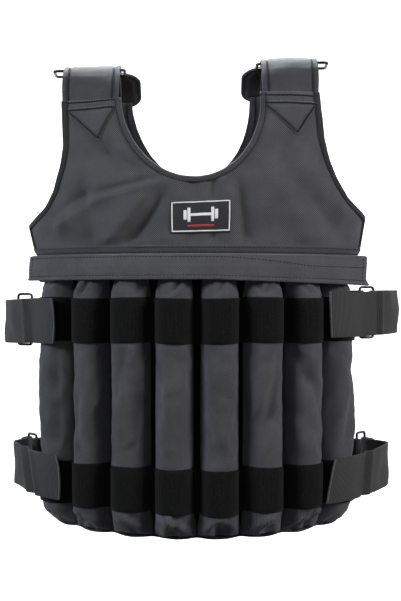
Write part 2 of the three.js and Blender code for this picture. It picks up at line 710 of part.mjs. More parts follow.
// The tab is sewn on the outermost back pocket and folds round the ring's inner wire.
function addSideTab(row, level, wire, radius) {
  const { side } = row;
  const seat = POCKET_SEAT + POCKET_CROWN * POCKET_DEPTH + CLEARANCE + WEBBING_THICKNESS / 2;
  const onPocket = [142, 152, 162].map((run) => onBody(BACK, angleAt(side * run), level, seat));
  const toward = onPocket[2].clone().sub(wire);
  const heading = Math.atan2(toward.y, toward.x);
  const outside = heading + side * QUARTER_TURN;
  const round = roundPost(wire, outside, outside + side * HALF_TURN, radius);
  const last = round[round.length - 1].clone().addScaledVector(toward.normalize(), TAB_RETURN);
  addStrap(`side_tab_${row.name}`, [...onPocket, ...round, last], () => new THREE.Vector3(0, 0, 1),
    () => WEBBING_WIDTH, WEBBING_THICKNESS, WEBBING);
}

// Assembly

addPanel("front_panel", FRONT, FRONT_NECK);
addPanel("back_panel", BACK, BACK_NECK);
addPockets("front", FRONT, FRONT_POCKET_FILL);
addPockets("back", BACK, BACK_POCKET_FILL);
addLoopBand("front_loop_band_upper", LEVEL.upperBand);
addLoopBand("front_loop_band_lower", LEVEL.lowerBand);
addSeamTape("front_flap_seam", FRONT);
addFlap("front_flap", FRONT);
addFlap("back_flap", BACK);
addLabel();
addBindings("front", FRONT, FRONT_NECK);
addBindings("back", BACK, BACK_NECK);
addShoulder("left", -1);
addShoulder("right", 1);
SIDE_STRAPS.forEach(addSideStrap);

export default vest;
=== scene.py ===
# A weighted training vest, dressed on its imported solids.
import math
import random
import bpy
import numpy as np
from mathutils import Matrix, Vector, noise


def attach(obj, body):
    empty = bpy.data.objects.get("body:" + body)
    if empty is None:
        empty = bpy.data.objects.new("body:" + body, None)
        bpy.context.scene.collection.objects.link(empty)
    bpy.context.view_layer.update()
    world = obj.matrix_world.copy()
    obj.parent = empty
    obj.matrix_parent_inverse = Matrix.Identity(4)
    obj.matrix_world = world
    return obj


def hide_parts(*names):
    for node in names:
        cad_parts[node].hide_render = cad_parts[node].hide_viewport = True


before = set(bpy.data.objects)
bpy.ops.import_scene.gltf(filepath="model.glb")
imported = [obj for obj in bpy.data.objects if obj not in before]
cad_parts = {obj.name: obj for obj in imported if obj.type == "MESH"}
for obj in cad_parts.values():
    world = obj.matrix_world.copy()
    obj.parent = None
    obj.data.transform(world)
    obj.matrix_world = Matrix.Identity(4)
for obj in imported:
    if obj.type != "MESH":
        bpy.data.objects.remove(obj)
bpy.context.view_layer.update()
MM = 0.001
FRONT, BACK = -1, 1

# Sizes repeated from the part's source, in millimetres

LENGTH, HALF_WIDTH, HALF_DEPTH, PANEL = 512, 165, 112, 3
POCKETS, PITCH, POCKET_DEPTH, SEAT = 8, 46.5, 25, 3.5
RUN = PITCH * POCKETS / 2
STRAP_X, STRAP_WIDTH, ARCH = 112, 60, 50
WEBBING_WIDTH, WEBBING = 50, 2
TOP, BACK_TOP, FRONT_NECK, BACK_NECK, SWAY_END, UNDERARM = 0.07, 0.045, 0.26, 0.232, 0.27, 0.343
SEAM, FLAP_TOP, POCKET_TOP, BODY_TOP = 0.405, 0.421, 0.444, 0.47
BAND, BAND_THICKNESS = 47, 1.6
UPPER_BAND, LOWER_BAND, BAND_HEIGHT = 0.5075, 0.856, BAND / LENGTH
BAND_END, TUCK, HEM = 0.6, 0.956, 1
HEM_LIFT, HEM_TUCK, SHOULDER_RISE, SHOULDER_SWAY = 7.5, 0.012, 5, 7.5
LABEL_WIDTH, LABEL_HEIGHT, LABEL_OFFSET, LABEL_LEVEL = 64, 35, 4, 0.34
STRAP_THICKNESS, STRAP_SEAT, STRAP_RETURN = 3, 0.8, 14
BACK_STRAP_SHIFT, BACK_STRAP_FLARE, BACK_STRAP_CORNER = 22.5, 11, 13
RING_LENGTH, RING_SHIFT, WIRE = 84, 4.5, 3.5
SIDE_RING_HEIGHT, SIDE_RING_WIDTH, SIDE_RING_BACK, RING_WIRE = 64, 24, 66, 3.2
FOLD_BACK, FLANK_INSET, FLANK_FORWARD, TAB_RETURN = 30, 14, 12, 18
# Each half's neckline: the level of its low point, half its width and the level of its top.
NECKS = {FRONT: (FRONT_NECK, 79.5, TOP), BACK: (BACK_NECK, 73, BACK_TOP)}
SECTIONS = {
    "level": [TOP, 0.155, FRONT_NECK, UNDERARM, SEAM, BODY_TOP, HEM],
    "width": [1.22, 1.215, 1.2, 1.175, 1.13, 0.985, 0.975],
    "depth": [0.54, 0.715, 0.9, 0.98, 1, 1, 1],
}
EDGES = {
    "level": [TOP, 0.175, 0.218, SWAY_END, 0.307, UNDERARM, SEAM, BODY_TOP, HEM],
    "edge": [0.7, 0.705, 0.733, 0.782, 0.84, 0.96, 0.965, 0.958, 0.958],
}

# Surface functions


def eased(table, column):
    """A dense copy of a table's column with its corners rounded a little."""
    levels = np.linspace(-0.05, 1.1, 1151)
    values = np.interp(levels, table["level"], table[column])
    kernel = np.hanning(27)
    padded = np.pad(values, 13, mode="edge")
    return levels, np.convolve(padded, kernel / kernel.sum(), "valid")


WIDTH_AT = eased(SECTIONS, "width")
DEPTH_AT = eased(SECTIONS, "depth")
EASED_LEVELS, EASED_EDGE = eased(EDGES, "edge")
# The corner under the arm stays sharp.
SHARP = np.clip(1 - np.abs(EASED_LEVELS - UNDERARM) / 0.02, 0, 1)
PLAIN_EDGE = np.interp(EASED_LEVELS, EDGES["level"], EDGES["edge"])
EDGE_AT = (EASED_LEVELS, EASED_EDGE * (1 - SHARP) + PLAIN_EDGE * SHARP)


def lookup(level, dense):
    return np.interp(level, *dense)


def on_body(half, angle, level, out):
    """Points on the body's oval, in millimetres, before the vest is hung."""
    angle, level, out = np.broadcast_arrays(*(np.asarray(v, float) for v in (angle, level, out)))
    a = HALF_WIDTH * lookup(level, WIDTH_AT)
    b = HALF_DEPTH * lookup(level, DEPTH_AT)
    nx, ny = np.sin(angle) / a, np.cos(angle) / b
    size = np.hypot(nx, ny)
    x = a * np.sin(angle) + out * nx / size
    y = b * np.cos(angle) + out * ny / size
    return np.stack([x, half * y, -level * LENGTH], -1)


def hang(points):
    """How the vest hangs in the photograph: swayed and tilted shoulders, a low hem."""
    p = np.array(points, float)
    level = -p[..., 2] / LENGTH
    sway = np.clip((SWAY_END - level) / (SWAY_END - TOP), 0, 1)
    tilt = np.clip((SEAM - level) / (SEAM - UNDERARM), 0, 1)
    low = np.clip((level - LOWER_BAND) / (HEM - LOWER_BAND), 0, 1)
    tuck = 1 - HEM_TUCK * np.clip((level - TUCK) / (HEM - TUCK), 0, 1)
    across = np.minimum(1.1, np.abs(p[..., 0]) / HALF_WIDTH)
    lean = np.clip(p[..., 0] / STRAP_X, -1, 1)
    p[..., 2] += HEM_LIFT * across ** 2 * low ** 3 + SHOULDER_RISE * lean * tilt
    p[..., 0] = p[..., 0] * tuck - SHOULDER_SWAY * sway
    p[..., 1] *= tuck
    return p


def arc_angle(length):
    """The oval's angle after a run of so many millimetres from its middle."""
    angles = np.linspace(0, 1.6, 3201)
    middle = (angles[1:] + angles[:-1]) / 2
    steps = np.hypot(HALF_WIDTH * np.cos(middle), HALF_DEPTH * np.sin(middle)) * np.diff(angles)
    runs = np.concatenate([[0], np.cumsum(steps)])
    return np.sign(length) * np.interp(np.abs(length), runs, angles)


RUN_ANGLE = float(arc_angle(RUN))


def edge_angle(level, side=0):
    """The angle of a half's cut edge. The right armhole is cut a little deeper."""
    deeper = 0.014 * bump(np.asarray(level, float), 0.245, 0.05) if side > 0 else 0
    return np.arcsin(lookup(level, EDGE_AT) - deeper)


def smooth_noise(points, scale, seed):
    """Soft noise from -1 to 1 at points in millimetres."""
    flat = np.asarray(points, float).reshape(-1, 3)
    values = [noise.noise(Vector(p / scale) + Vector((seed, 2 * seed, 3 * seed))) for p in flat]
    return np.array(values).reshape(np.shape(points)[:-1])


def bump(value, centre, width):
    return np.exp(-(((value - centre) / width) ** 2))


# Mesh makers


def add_object(name, points, faces, uv, material, replaces=()):
    """One piece from points in millimetres. uv holds two numbers for each point."""
    mesh = bpy.data.meshes.new(name)
    mesh.from_pydata((hang(points) * MM).tolist(), [], faces)
    mesh.validate()
    layer = mesh.uv_layers.new(name="cloth")
    flat = np.asarray(uv, float).reshape(-1, 2) * MM
    corner = np.empty(len(mesh.loops), np.int32)
    mesh.loops.foreach_get("vertex_index", corner)
    layer.data.foreach_set("uv", flat[corner].ravel())
    mesh.polygons.foreach_set("use_smooth", [True] * len(mesh.polygons))
    mesh.materials.append(material)
    piece = bpy.data.objects.new(name, mesh)
    bpy.context.scene.collection.objects.link(piece)
    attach(piece, "root")
    if replaces:
        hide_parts(*replaces)
    return piece


def grid_faces(rows, columns, start=0, wrap=False):
    """Four-sided faces of a grid of points; wrap joins its last column to its first."""
    faces = []
    for i in range(rows - 1):
        for j in range(columns if wrap else columns - 1):
            k = (j + 1) % columns
            here, there = start + i * columns, start + (i + 1) * columns
            faces.append((here + j, here + k, there + k, there + j))
    return faces


def tube_faces(rows, columns, start=0):
    """Faces through a row of closed outlines, with both ends capped."""
    last = start + (rows - 1) * columns
    faces = grid_faces(rows, columns, start, wrap=True)
    faces.append(tuple(reversed(range(start, start + columns))))
    faces.append(tuple(range(last, last + columns)))
    return faces


def lengths(grid):
    """Cloth coordinates of a grid: how far each point lies along and down it."""
    across = np.linalg.norm(np.diff(grid, axis=1), axis=-1)
    across = np.concatenate([np.zeros((grid.shape[0], 1)), np.cumsum(across, 1)], 1)
    across -= across[:, grid.shape[1] // 2][:, None]
    down = np.linalg.norm(np.diff(grid, axis=0), axis=-1)
    down = np.concatenate([np.zeros((1, grid.shape[1])), np.cumsum(down, 0)], 0)
    return np.stack([across, down], -1)


def outward(points, faces):
    """Faces turned so that the closed surface faces out."""
    p = np.asarray(points, float).reshape(-1, 3)
    p = p - p.mean(0)
    volume = 0.0
    for face in faces:
        for i in range(1, len(face) - 1):
            volume += np.dot(p[face[0]], np.cross(p[face[i]], p[face[i + 1]]))
    return faces if volume > 0 else [tuple(reversed(face)) for face in faces]


def add_shell(name, outer, inner, material, replaces=()):
    """A cloth wall between two grids of points, with a rounded rim."""
    rows, columns = outer.shape[:2]
    middle = (outer + inner) / 2
    uv = lengths(outer)
    rim = [(0, j) for j in range(columns)]
    rim += [(i, columns - 1) for i in range(1, rows)]
    rim += [(rows - 1, j) for j in range(columns - 2, -1, -1)]
    rim += [(i, 0) for i in range(rows - 2, 0, -1)]
    count = rows * columns
    faces = grid_faces(rows, columns)
    faces += [tuple(reversed([v + count for v in face])) for face in grid_faces(rows, columns)]
    thickness = np.linalg.norm(outer - inner, axis=-1)
    ring = []
    for i, j in rim:
        toward = middle[i, j] - middle[min(max(i, 1), rows - 2), min(max(j, 1), columns - 2)]
        ring.append(middle[i, j] + toward / np.linalg.norm(toward) * thickness[i, j] * 0.45)
    points = np.concatenate([outer.reshape(-1, 3), inner.reshape(-1, 3), np.array(ring)])
    ring_uv = np.array([uv[i, j] for i, j in rim])
    all_uv = np.concatenate([uv.reshape(-1, 2), uv.reshape(-1, 2), ring_uv])
    for n, (i, j) in enumerate(rim):
        m = (n + 1) % len(rim)
        a, b = i * columns + j, rim[m][0] * columns + rim[m][1]
        faces.append((b, a, 2 * count + n, 2 * count + m))
        faces.append((2 * count + m, 2 * count + n, a + count, b + count))
    return add_object(name, points, outward(points, faces), all_uv, material, replaces)


def add_tube(name, rings, material, replaces=(), closed=False):
    """A solid through a row of outlines. closed joins the last outline to the first."""
    rings = np.asarray(rings, float)
    rows, columns = rings.shape[:2]
    if closed:
        last = (rows - 1) * columns
        faces = grid_faces(rows, columns, wrap=True)
        for j in range(columns):
            k = (j + 1) % columns
            faces.append((last + j, last + k, k, j))
    else:
        faces = tube_faces(rows, columns)
    points = rings.reshape(-1, 3)
    uv = lengths(rings)[..., ::-1]
    return add_object(name, points, outward(points, faces), uv, material, replaces)


def unit(v):
    v = np.asarray(v, float)
    return v / np.maximum(np.linalg.norm(v, axis=-1, keepdims=True), 1e-9)


def run_of(path):
    """How far along a path each of its points lies."""
    return np.concatenate([[0], np.cumsum(np.linalg.norm(np.diff(path, axis=0), axis=1))])


def at_run(values, run, at):
    """A line's values after a run of so many millimetres."""
    return np.stack([np.interp(at, run, values[:, k]) for k in range(3)], -1)


def resample(path, count):
    path = np.asarray(path, float)
    run = run_of(path)
    return at_run(path, run, np.linspace(0, run[-1], count))


def between(place, start, end, first, last):
    """The value between first and last, as far as the place lies from start to end."""
    return (end - place) / (end - start) * first + (place - start) / (end - start) * last


def curve_through(points, count):
    """A smooth curve through a few points, evenly spaced."""
    p = [np.asarray(v, float) for v in points]
    p = [2 * p[0] - p[1], *p, 2 * p[-1] - p[-2]]
    line = []
    for i in range(1, len(p) - 2):
        t = [0.0]
        for k in range(3):
            t.append(t[-1] + max(np.linalg.norm(p[i + k] - p[i + k - 1]), 1e-6) ** 0.5)
        for s in np.linspace(t[1], t[2], 24, endpoint=False):
            a = [between(s, t[k], t[k + 1], p[i + k - 1], p[i + k]) for k in range(3)]
            b = [between(s, t[k], t[k + 2], a[k], a[k + 1]) for k in range(2)]
            line.append(between(s, t[1], t[2], *b))
    line.append(p[-2])
    return resample(line, count)


def smooth_path(path, count, rounds):
    path = resample(path, count)
    for _ in range(rounds):
        path[1:-1] = path[1:-1] * 0.5 + (path[:-2] + path[2:]) * 0.25
    return path


def full_turn(count):
    return np.linspace(0, 2 * math.pi, count, endpoint=False)


def round_points(centre, radius, first, second, turns):
    """Points round a centre, in the plane of two directions."""
    return [centre + radius * (math.cos(t) * first + math.sin(t) * second) for t in turns]


# Materials


def new_material(name):
    material = bpy.data.materials.new(name)
    material.use_nodes = True
    tree = material.node_tree
    return material, tree, tree.nodes["Principled BSDF"]


def set_inputs(node, **inputs):
    """Sets a node's sockets by name, with _ for a space."""
    for key, value in inputs.items():
        node.inputs[key.replace("_", " ")].default_value = value


def add_node(tree, kind, **inputs):
    node = tree.nodes.new(kind)
    set_inputs(node, **inputs)
    return node


def math_node(tree, operation, *values):
    """One sum of sockets and plain numbers."""
    node = tree.nodes.new("ShaderNodeMath")
    node.operation = operation
    for socket, value in zip(node.inputs, values):
        if isinstance(value, (int, float)):
            socket.default_value = value
        else:
            tree.links.new(value, socket)
    return node.outputs[0]


def wave(tree, axis, size):
    """A wave along one axis of the cloth coordinates, size metres long."""
    place = tree.nodes.new("ShaderNodeTexCoord")
    split = tree.nodes.new("ShaderNodeSeparateXYZ")
    tree.links.new(place.outputs["UV"], split.inputs[0])
    turn = math_node(tree, "MULTIPLY", split.outputs[axis], 2 * math.pi / size)
    return math_node(tree, "SINE", turn)


def weave_height(tree, size_u, size_v):
    """The height of a plain weave: two crossed waves, each size in metres."""
    return math_node(tree, "MULTIPLY", wave(tree, "X", size_u), wave(tree, "Y", size_v))


def mottle(tree, scale, detail=4.0, rough=0.6):
    place = tree.nodes.new("ShaderNodeTexCoord")
    cloud = add_node(tree, "ShaderNodeTexNoise", Scale=scale, Detail=detail, Roughness=rough)
    tree.links.new(place.outputs["Object"], cloud.inputs["Vector"])
    return cloud.outputs["Fac"]


def ramp(tree, source, stops, target, interpolation="LINEAR"):
    """Tones between two colours, by the source's value, into the target socket."""
    node = tree.nodes.new("ShaderNodeValToRGB")
    node.color_ramp.interpolation = interpolation
    for element, (position, colour) in zip(node.color_ramp.elements, stops):
        element.position = position
        element.color = (*colour, 1)
    tree.links.new(source, node.inputs[0])
    tree.links.new(node.outputs["Color"], target)


def add_bump(tree, shader, height, distance):
    node = add_node(tree, "ShaderNodeBump", Distance=distance, Strength=1.0)
    tree.links.new(height, node.inputs["Height"])
    tree.links.new(node.outputs["Normal"], shader.inputs["Normal"])


def woven_material(name, dark, light, size, sheen, depth=0.00025, gloss=0.25, ribbed=False):
    """Cloth of a plain weave, or with ribs across it: light threads over dark gaps, clouded a little."""
    material, tree, shader = new_material(name)
    weave = wave(tree, "X", size) if ribbed else weave_height(tree, size, size)
    height = math_node(tree, "MULTIPLY_ADD", mottle(tree, 38.0), 1.2, weave)
    height = math_node(tree, "MULTIPLY_ADD", mottle(tree, 900.0, detail=2.0), 1.0, height)
    spread = add_node(tree, "ShaderNodeMapRange", From_Min=-0.35, From_Max=2.5)
    tree.links.new(height, spread.inputs["Value"])
    stops = [(0.15, dark), (1.0, light)]
    ramp(tree, spread.outputs["Result"], stops, shader.inputs["Base Color"], "EASE")
    set_inputs(shader, Roughness=0.75, Specular_IOR_Level=gloss)
    set_inputs(shader, Sheen_Weight=sheen, Sheen_Roughness=0.45, Sheen_Tint=(0.8, 0.85, 1.0, 1.0))
    add_bump(tree, shader, height, depth)
    return material


def pile_material(name):
    """Looped pile: black, soft, with faint upright rows."""
    material, tree, shader = new_material(name)
    fluff = mottle(tree, 620.0, detail=3.0, rough=0.7)
    height = math_node(tree, "MULTIPLY_ADD", weave_height(tree, 0.0042, 0.09), 0.05, fluff)
    ramp(tree, height, [(0.3, (0.001,) * 3), (0.8, (0.007,) * 3)], shader.inputs["Base Color"])
    set_inputs(shader, Roughness=0.95, Specular_IOR_Level=0.06, Sheen_Weight=0.03)
    add_bump(tree, shader, height, 0.0009)
    return material


def steel_material(name):
    material, tree, shader = new_material(name)
    worn = mottle(tree, 160.0)
    tones = [(0.35, (0.013, 0.013, 0.014)), (0.7, (0.052, 0.052, 0.055))]
    ramp(tree, worn, tones, shader.inputs["Base Color"])
    ramp(tree, worn, [(0.3, (0.25,) * 3), (0.7, (0.42,) * 3)], shader.inputs["Roughness"])
    set_inputs(shader, Metallic=1.0)
    return material


def backdrop_material(name):
    """A pale wall, clouded a little, that glows so that it shows white."""
    material, tree, shader = new_material(name)
    stops = [(0.3, (0.985 * 0.9,) * 3), (0.7, (0.9,) * 3)]
    ramp(tree, mottle(tree, 3.0), stops, shader.inputs["Base Color"])
    set_inputs(shader, Roughness=0.9, Emission_Color=(1, 1, 1, 1), Emission_Strength=1.0)
    return material


CLOTH = woven_material("charcoal_cloth", (0.006, 0.006, 0.0075), (0.060, 0.060, 0.067), 0.0023, 0.1)
STRAP_CLOTH = woven_material("strap_cloth", (0.004, 0.004, 0.005), (0.039, 0.039, 0.045), 0.0023, 0.1,
                             depth=0.00012)
TAPE = woven_material("black_tape", (0.002, 0.002, 0.0024), (0.023, 0.023, 0.025), 0.0014, 0.06)
WEBBING_CLOTH = woven_material("ribbed_webbing", (0.0028, 0.0028, 0.0031), (0.0172, 0.0175, 0.0185), 0.0022,
                               0.06, depth=0.0002, ribbed=True)
# Near-black cloth for the panel's outer face below the flap, which shows only in the grooves between the
# pockets: painted shade standing in for the shadow in those deep grooves.
GROOVE_SHADE_BACKING = woven_material("groove_painted_shade", (0.0004,) * 3, (0.003, 0.003, 0.0032), 0.0016, 0.0, gloss=0.04)
PILE = pile_material("loop_pile")
STEEL = steel_material("dark_wire")
THREAD = woven_material("black_thread", (0.0015, 0.0015, 0.002), (0.006, 0.006, 0.007), 0.0004, 0.0)
# A pale grey for the sealed cut ends of the side straps: a painted highlight where those ends catch the
# light.
SEALED_HIGHLIGHT = woven_material("sealed_edge_painted_highlight", (0.04, 0.04, 0.04), (0.15, 0.15, 0.153), 0.0006, 0.0)
HOOKS = woven_material("hook_tape", (0.006, 0.005, 0.0045), (0.034, 0.029, 0.026), 0.0012, 0.0)
PATCH = woven_material("black_patch", (0.004, 0.004, 0.0045), (0.014, 0.014, 0.015), 0.0008, 0.1)
WHITE_THREAD = woven_material("white_thread", (0.45, 0.45, 0.45), (0.86, 0.86, 0.86), 0.0008, 0.1)
RED_THREAD = woven_material("red_thread", (0.3, 0.01, 0.012), (0.5, 0.02, 0.02), 0.0008, 0.1)

# Camera and studio

camera_data = bpy.data.cameras.new("camera")
camera_data.lens = 73.8
camera_data.clip_end = 50
camera = bpy.data.objects.new("camera", camera_data)
camera.location = (0.0037, -1.421, -0.2635)
camera.rotation_euler = (math.radians(90), 0, 0)
bpy.context.scene.collection.objects.link(camera)
bpy.context.scene.camera = camera


def add_light(name, place, target, size, power, colour):
    data = bpy.data.lights.new(name, "AREA")
    data.shape = "RECTANGLE"
    data.size, data.size_y = size
    data.energy = power
    data.color = colour
    light = bpy.data.objects.new(name, data)
    light.location = place
    light.rotation_euler = (Vector(target) - Vector(place)).to_track_quat("-Z", "Y").to_euler()
    bpy.context.scene.collection.objects.link(light)


add_light("key_left", (-1.75, -1.0, 0.5), (0, 0, -0.28), (0.7, 0.6), 68, (0.91, 0.94, 1.0))
add_light("key_right", (1.62, -0.85, 0.42), (0, 0, -0.28), (0.8, 0.7), 58, (1.0, 0.985, 0.96))
add_light("top_back", (-0.05, 0.82, 1.05), (0, 0, 0), (1.0, 0.4), 64, (0.91, 0.95, 1.0))
add_light("fill_low", (-0.2, -2.3, -0.7), (0, 0, -0.35), (1.4, 0.6), 9, (0.95, 0.97, 1.0))

bpy.context.scene.view_settings.view_transform = "Standard"
world = bpy.data.worlds.new("studio")
bpy.context.scene.world = world
world.use_nodes = True
set_inputs(world.node_tree.nodes["Background"], Color=(1, 1, 1, 1), Strength=0.15)


def add_sweep():
    """A backdrop behind the vest, with a strip of floor curving up into it."""
    half, floor, back, rise = 6.0, -1.3, 3.6, 5.0
    profile = [(1.6, floor), (back - 1.0, floor)]
    turns = np.linspace(0.1, math.pi / 2, 12)
    profile += [(back - 1 + math.sin(t), floor + 1 - math.cos(t)) for t in turns]
    profile.append((back, rise))
    points = [(side * half, y, z) for y, z in profile for side in (-1, 1)]
    faces = [(2 * i, 2 * i + 1, 2 * i + 3, 2 * i + 2) for i in range(len(profile) - 1)]
    mesh = bpy.data.meshes.new("backdrop")
    mesh.from_pydata(points, [], faces)
    mesh.polygons.foreach_set("use_smooth", [True] * len(mesh.polygons))
    mesh.materials.append(backdrop_material("pale_backdrop"))
    sweep = bpy.data.objects.new("backdrop", mesh)
    bpy.context.scene.collection.objects.link(sweep)


add_sweep()

# Stitches


def stitch_points(path, normals, length=2.6, gap=1.4, radius=0.55, sink=0.1):
    """Rings of short threads laid along a path in millimetres."""
    run = run_of(path)
    threads = []
    at = gap
    while at + length < run[-1]:
        start, end = at_run(path, run, at), at_run(path, run, at + length)
        up = unit(at_run(normals, run, at + length / 2))
        side = np.cross(unit(end - start), up)
        rings = []
        for share, grow in ((0, 0.25), (0.2, 0.9), (0.5, 1), (0.8, 0.9), (1, 0.25)):
            centre = start + (end - start) * share + up * (radius * (grow - 0.35) - sink)
            rings.append(round_points(centre, radius * grow, side, up, full_turn(6)))
        threads.append(rings)
        at += length + gap
    return threads


def add_threads(name, threads):
    points, faces = [], []
    for rings in threads:
        faces += tube_faces(len(rings), len(rings[0]), len(points))
        points += [p for ring in rings for p in ring]
    add_object(name, points, faces, np.zeros((len(points), 2)), THREAD)


def add_bead(name, path, along, face):
    """The sealed edge of a cut webbing, coloured much lighter than the webbing as a painted highlight."""
    side = np.cross(along, face)
    rings = [[p + 1.5 * math.cos(t) * face + 1.0 * math.sin(t) * side for t in full_turn(8)] for p in path]
    add_tube(name, rings, SEALED_HIGHLIGHT)


# Panels

# Folds of the chest cloth: soft ridges (or, below zero, hollows) between two places, given by how far
# they lie from the middle and below the shoulders. Each row: start, end, height, width.
FOLDS = [
    ((-112, 151), (-46, 136), 3.6, 5),
    ((-112, 143), (-41, 128), -4.0, 4),
    ((-109, 89), (-60, 118), -3.4, 5),
    ((-156, 166), (-120, 140), -3.4, 5),
    ((-150, 178), (-106, 148), 3.2, 7),
    ((-36, 147), (-80, 207), -12, 11),
    ((-54, 148), (-98, 205), 8, 13),
    ((-16, 152), (-36, 207), 6, 9),
    ((-3, 136), (-6, 207), -5, 8),
    ((17, 134), (18, 207), -6, 6),
    ((29, 134), (33, 207), 5.0, 7),
    ((46, 138), (53, 207), -9.5, 11),
    ((78, 132), (122, 203), 5, 15),
    ((94, 126), (154, 190), -5, 12),
    ((108, 112), (166, 172), 4.6, 16),
    ((-128, 95), (-150, 190), 5, 16),
    ((-126, 130), (-112, 205), -5, 11),
    ((-100, 84), (-84, 120), -3.4, 9),
    ((104, 84), (92, 124), -3.4, 10),
]


# The back has four of them, mirrored.
BACK_FOLDS = FOLDS[7:11]


def fold_height(x, down, folds):
    height = np.zeros(np.shape(x))
    for (x0, down0), (x1, down1), rise, width in folds:
        run, fall = x1 - x0, down1 - down0
        size = np.hypot(run, fall)
        share = ((x - x0) * run + (down - down0) * fall) / size ** 2
        aside = ((x - x0) * -fall + (down - down0) * run) / size
        fade = 1 / (1 + np.exp(-(share + 0.02) * 14)) / (1 + np.exp((share - 1.02) * 14))
        height += rise * fade * np.exp(-(np.abs(aside / width) ** 1.6))
    return height


def panel_lift(half, points, edge_share):
    """How far the cloth stands from the plain body surface."""
    x, down = points[..., 0], -points[..., 2]
    soft = smooth_noise(points, 46, 1.3 + half) * 3.6 + smooth_noise(points, 19, 7.7 + half) * 0.5
    folds = fold_height(x, down, FOLDS) if half == FRONT else fold_height(-x, down, BACK_FOLDS)
    calm = np.clip((down - 52) / 30, 0.15, 1) * np.clip((LENGTH * SEAM - down) / 12, 0, 1)
    if half == FRONT:
        # The label holds the cloth behind it nearly flat.
        aside, away = np.abs(x - LABEL_OFFSET), np.abs(down - LABEL_LEVEL * LENGTH)
        beside = 1 / (1 + np.exp((aside - LABEL_WIDTH / 2 - 3) / 3))
        calm = calm * (1 - 0.7 * beside / (1 + np.exp((away - LABEL_HEIGHT / 2 - 2.5) / 2.5)))
    return (soft + folds) * calm * np.clip(edge_share * 5, 0, 1)


NECK_ROWS, CHEST_ROWS, BODY_ROWS, SIDE_COLUMNS = 26, 40, 26, 56


def neck_line(half, start, end, count):
    """Angles and levels along a half's neckline, between two turns of its oval."""
    neck_level, half_width, top = NECKS[half]
    turns = np.linspace(start, end, count)
    levels = neck_level - (neck_level - top) * (1 - np.cos(turns))
    a = HALF_WIDTH * lookup(levels, WIDTH_AT)
    return np.arcsin(half_width * np.sin(turns) / a), levels


def side_grid(half, side):
    """Angle, level and lift of the cloth's points on one side of a panel."""
    neck_level = NECKS[half][0]
    inner, levels = neck_line(half, math.pi / 2, 0, NECK_ROWS)
    inner = np.concatenate([inner, np.zeros(CHEST_ROWS + BODY_ROWS - 2)])
    levels = np.concatenate([levels, np.linspace(neck_level, SEAM, CHEST_ROWS)[1:],
                             np.linspace(SEAM, HEM + 0.003, BODY_ROWS)[1:]])
    outer = edge_angle(levels, side)
    shares = np.linspace(0, 1, SIDE_COLUMNS)
    angles = side * (inner[:, None] + (outer - inner)[:, None] * shares)
    level = np.repeat(levels[:, None], SIDE_COLUMNS, 1)
    edge = np.where(level < neck_level, np.minimum(1 - shares, shares), 1 - shares)
    return angles, level, panel_lift(half, on_body(half, angles, level, PANEL), edge)


def add_panel(name, half):
    """Both sides of a panel in one mesh, joined down the middle below the neck."""
    sheets = []
    for side in (-1, 1):
        angles, level, lift = side_grid(half, side)
        sheets.append(on_body(half, angles, level, PANEL + lift))
        sheets.append(on_body(half, angles, level, lift))
    rows = len(sheets[0])
    size = rows * SIDE_COLUMNS
    points = np.concatenate([sheet.reshape(-1, 3) for sheet in sheets])
    uvs = np.concatenate([sheets[n - n % 2][..., [0, 2]].reshape(-1, 2) for n in range(4)])
    faces = []
    # The right side's middle column below the neck is the left side's.
    index = np.arange(len(points)).reshape(4, rows, SIDE_COLUMNS)
    index[2, NECK_ROWS - 1:, 0] = index[0, NECK_ROWS - 1:, 0]
    index[3, NECK_ROWS - 1:, 0] = index[1, NECK_ROWS - 1:, 0]
    for n in range(4):
        grid = index[n]
        turn = (n % 2 == 0) == (n < 2)
        for i in range(rows - 1):
            for j in range(SIDE_COLUMNS - 1):
                face = (grid[i, j], grid[i, j + 1], grid[i + 1, j + 1], grid[i + 1, j])
                faces.append(face if turn else face[::-1])
    edges = dict.fromkeys((int(a), int(b)) for face in faces for a, b in zip(face, face[1:] + face[:1]))
    outer_ids = set(index[0].ravel().tolist()) | set(index[2].ravel().tolist())
    for a, b in list(edges):
        if (b, a) not in edges and a in outer_ids and b in outer_ids:
            faces.append((b, a, a + size, b + size))
    used = sorted({v for face in faces for v in face})
    renumber = {v: i for i, v in enumerate(used)}
    faces = [tuple(renumber[v] for v in face) for face in faces]
    points, uvs = points[used], uvs[used]
    piece = add_object(name, points, outward(points, faces), uvs, CLOTH, (name,))
    # The outer faces below the flap take the near-black material: painted shade for the grooves between the
    # pockets.
    piece.data.materials.append(GROOVE_SHADE_BACKING)
    for face in piece.data.polygons:
        if face.center.z < -(FLAP_TOP + 0.01) * LENGTH * MM and face.normal.y * half > 0:
            face.material_index = 1


# Bindings


# Half the thickness of a folded tape, and the thickness of each of its walls
TAPE_HALF, TAPE_WALL = 2.7, 0.9


def rim_frame(half, angle, level, side_out):
    """Points on a panel's rim with the direction out of the cloth's edge and off its face."""
    edge = on_body(half, angle, level, PANEL / 2)
    face = unit(on_body(half, angle, level, PANEL / 2 + 1) - edge)
    along = unit(np.gradient(edge, axis=0))
    return edge, unit(np.cross(along, face)) * side_out, face


def wrap_outline(reach_in, reach_out):
    """A tape folded over an edge, as (out of the edge, off the face) pairs."""
    centre, slot = reach_out - TAPE_HALF * 0.9, TAPE_HALF - TAPE_WALL
    outline = [(-reach_in, TAPE_HALF - 0.35), (-reach_in + 0.5, TAPE_HALF)]
    outline += [(0.0, TAPE_HALF), (centre, TAPE_HALF)]
    outline += [(centre + TAPE_HALF * 0.9 * math.sin(t), TAPE_HALF * math.cos(t))
                for t in np.linspace(0.35, math.pi - 0.35, 7)]
    outline += [(centre, -TAPE_HALF), (0.0, -TAPE_HALF)]
    outline += [(-reach_in + 0.5, -TAPE_HALF), (-reach_in, -TAPE_HALF + 0.35)]
    outline += [(-reach_in, -slot), (0.25, -slot), (0.25, slot), (-reach_in, slot)]
    return outline


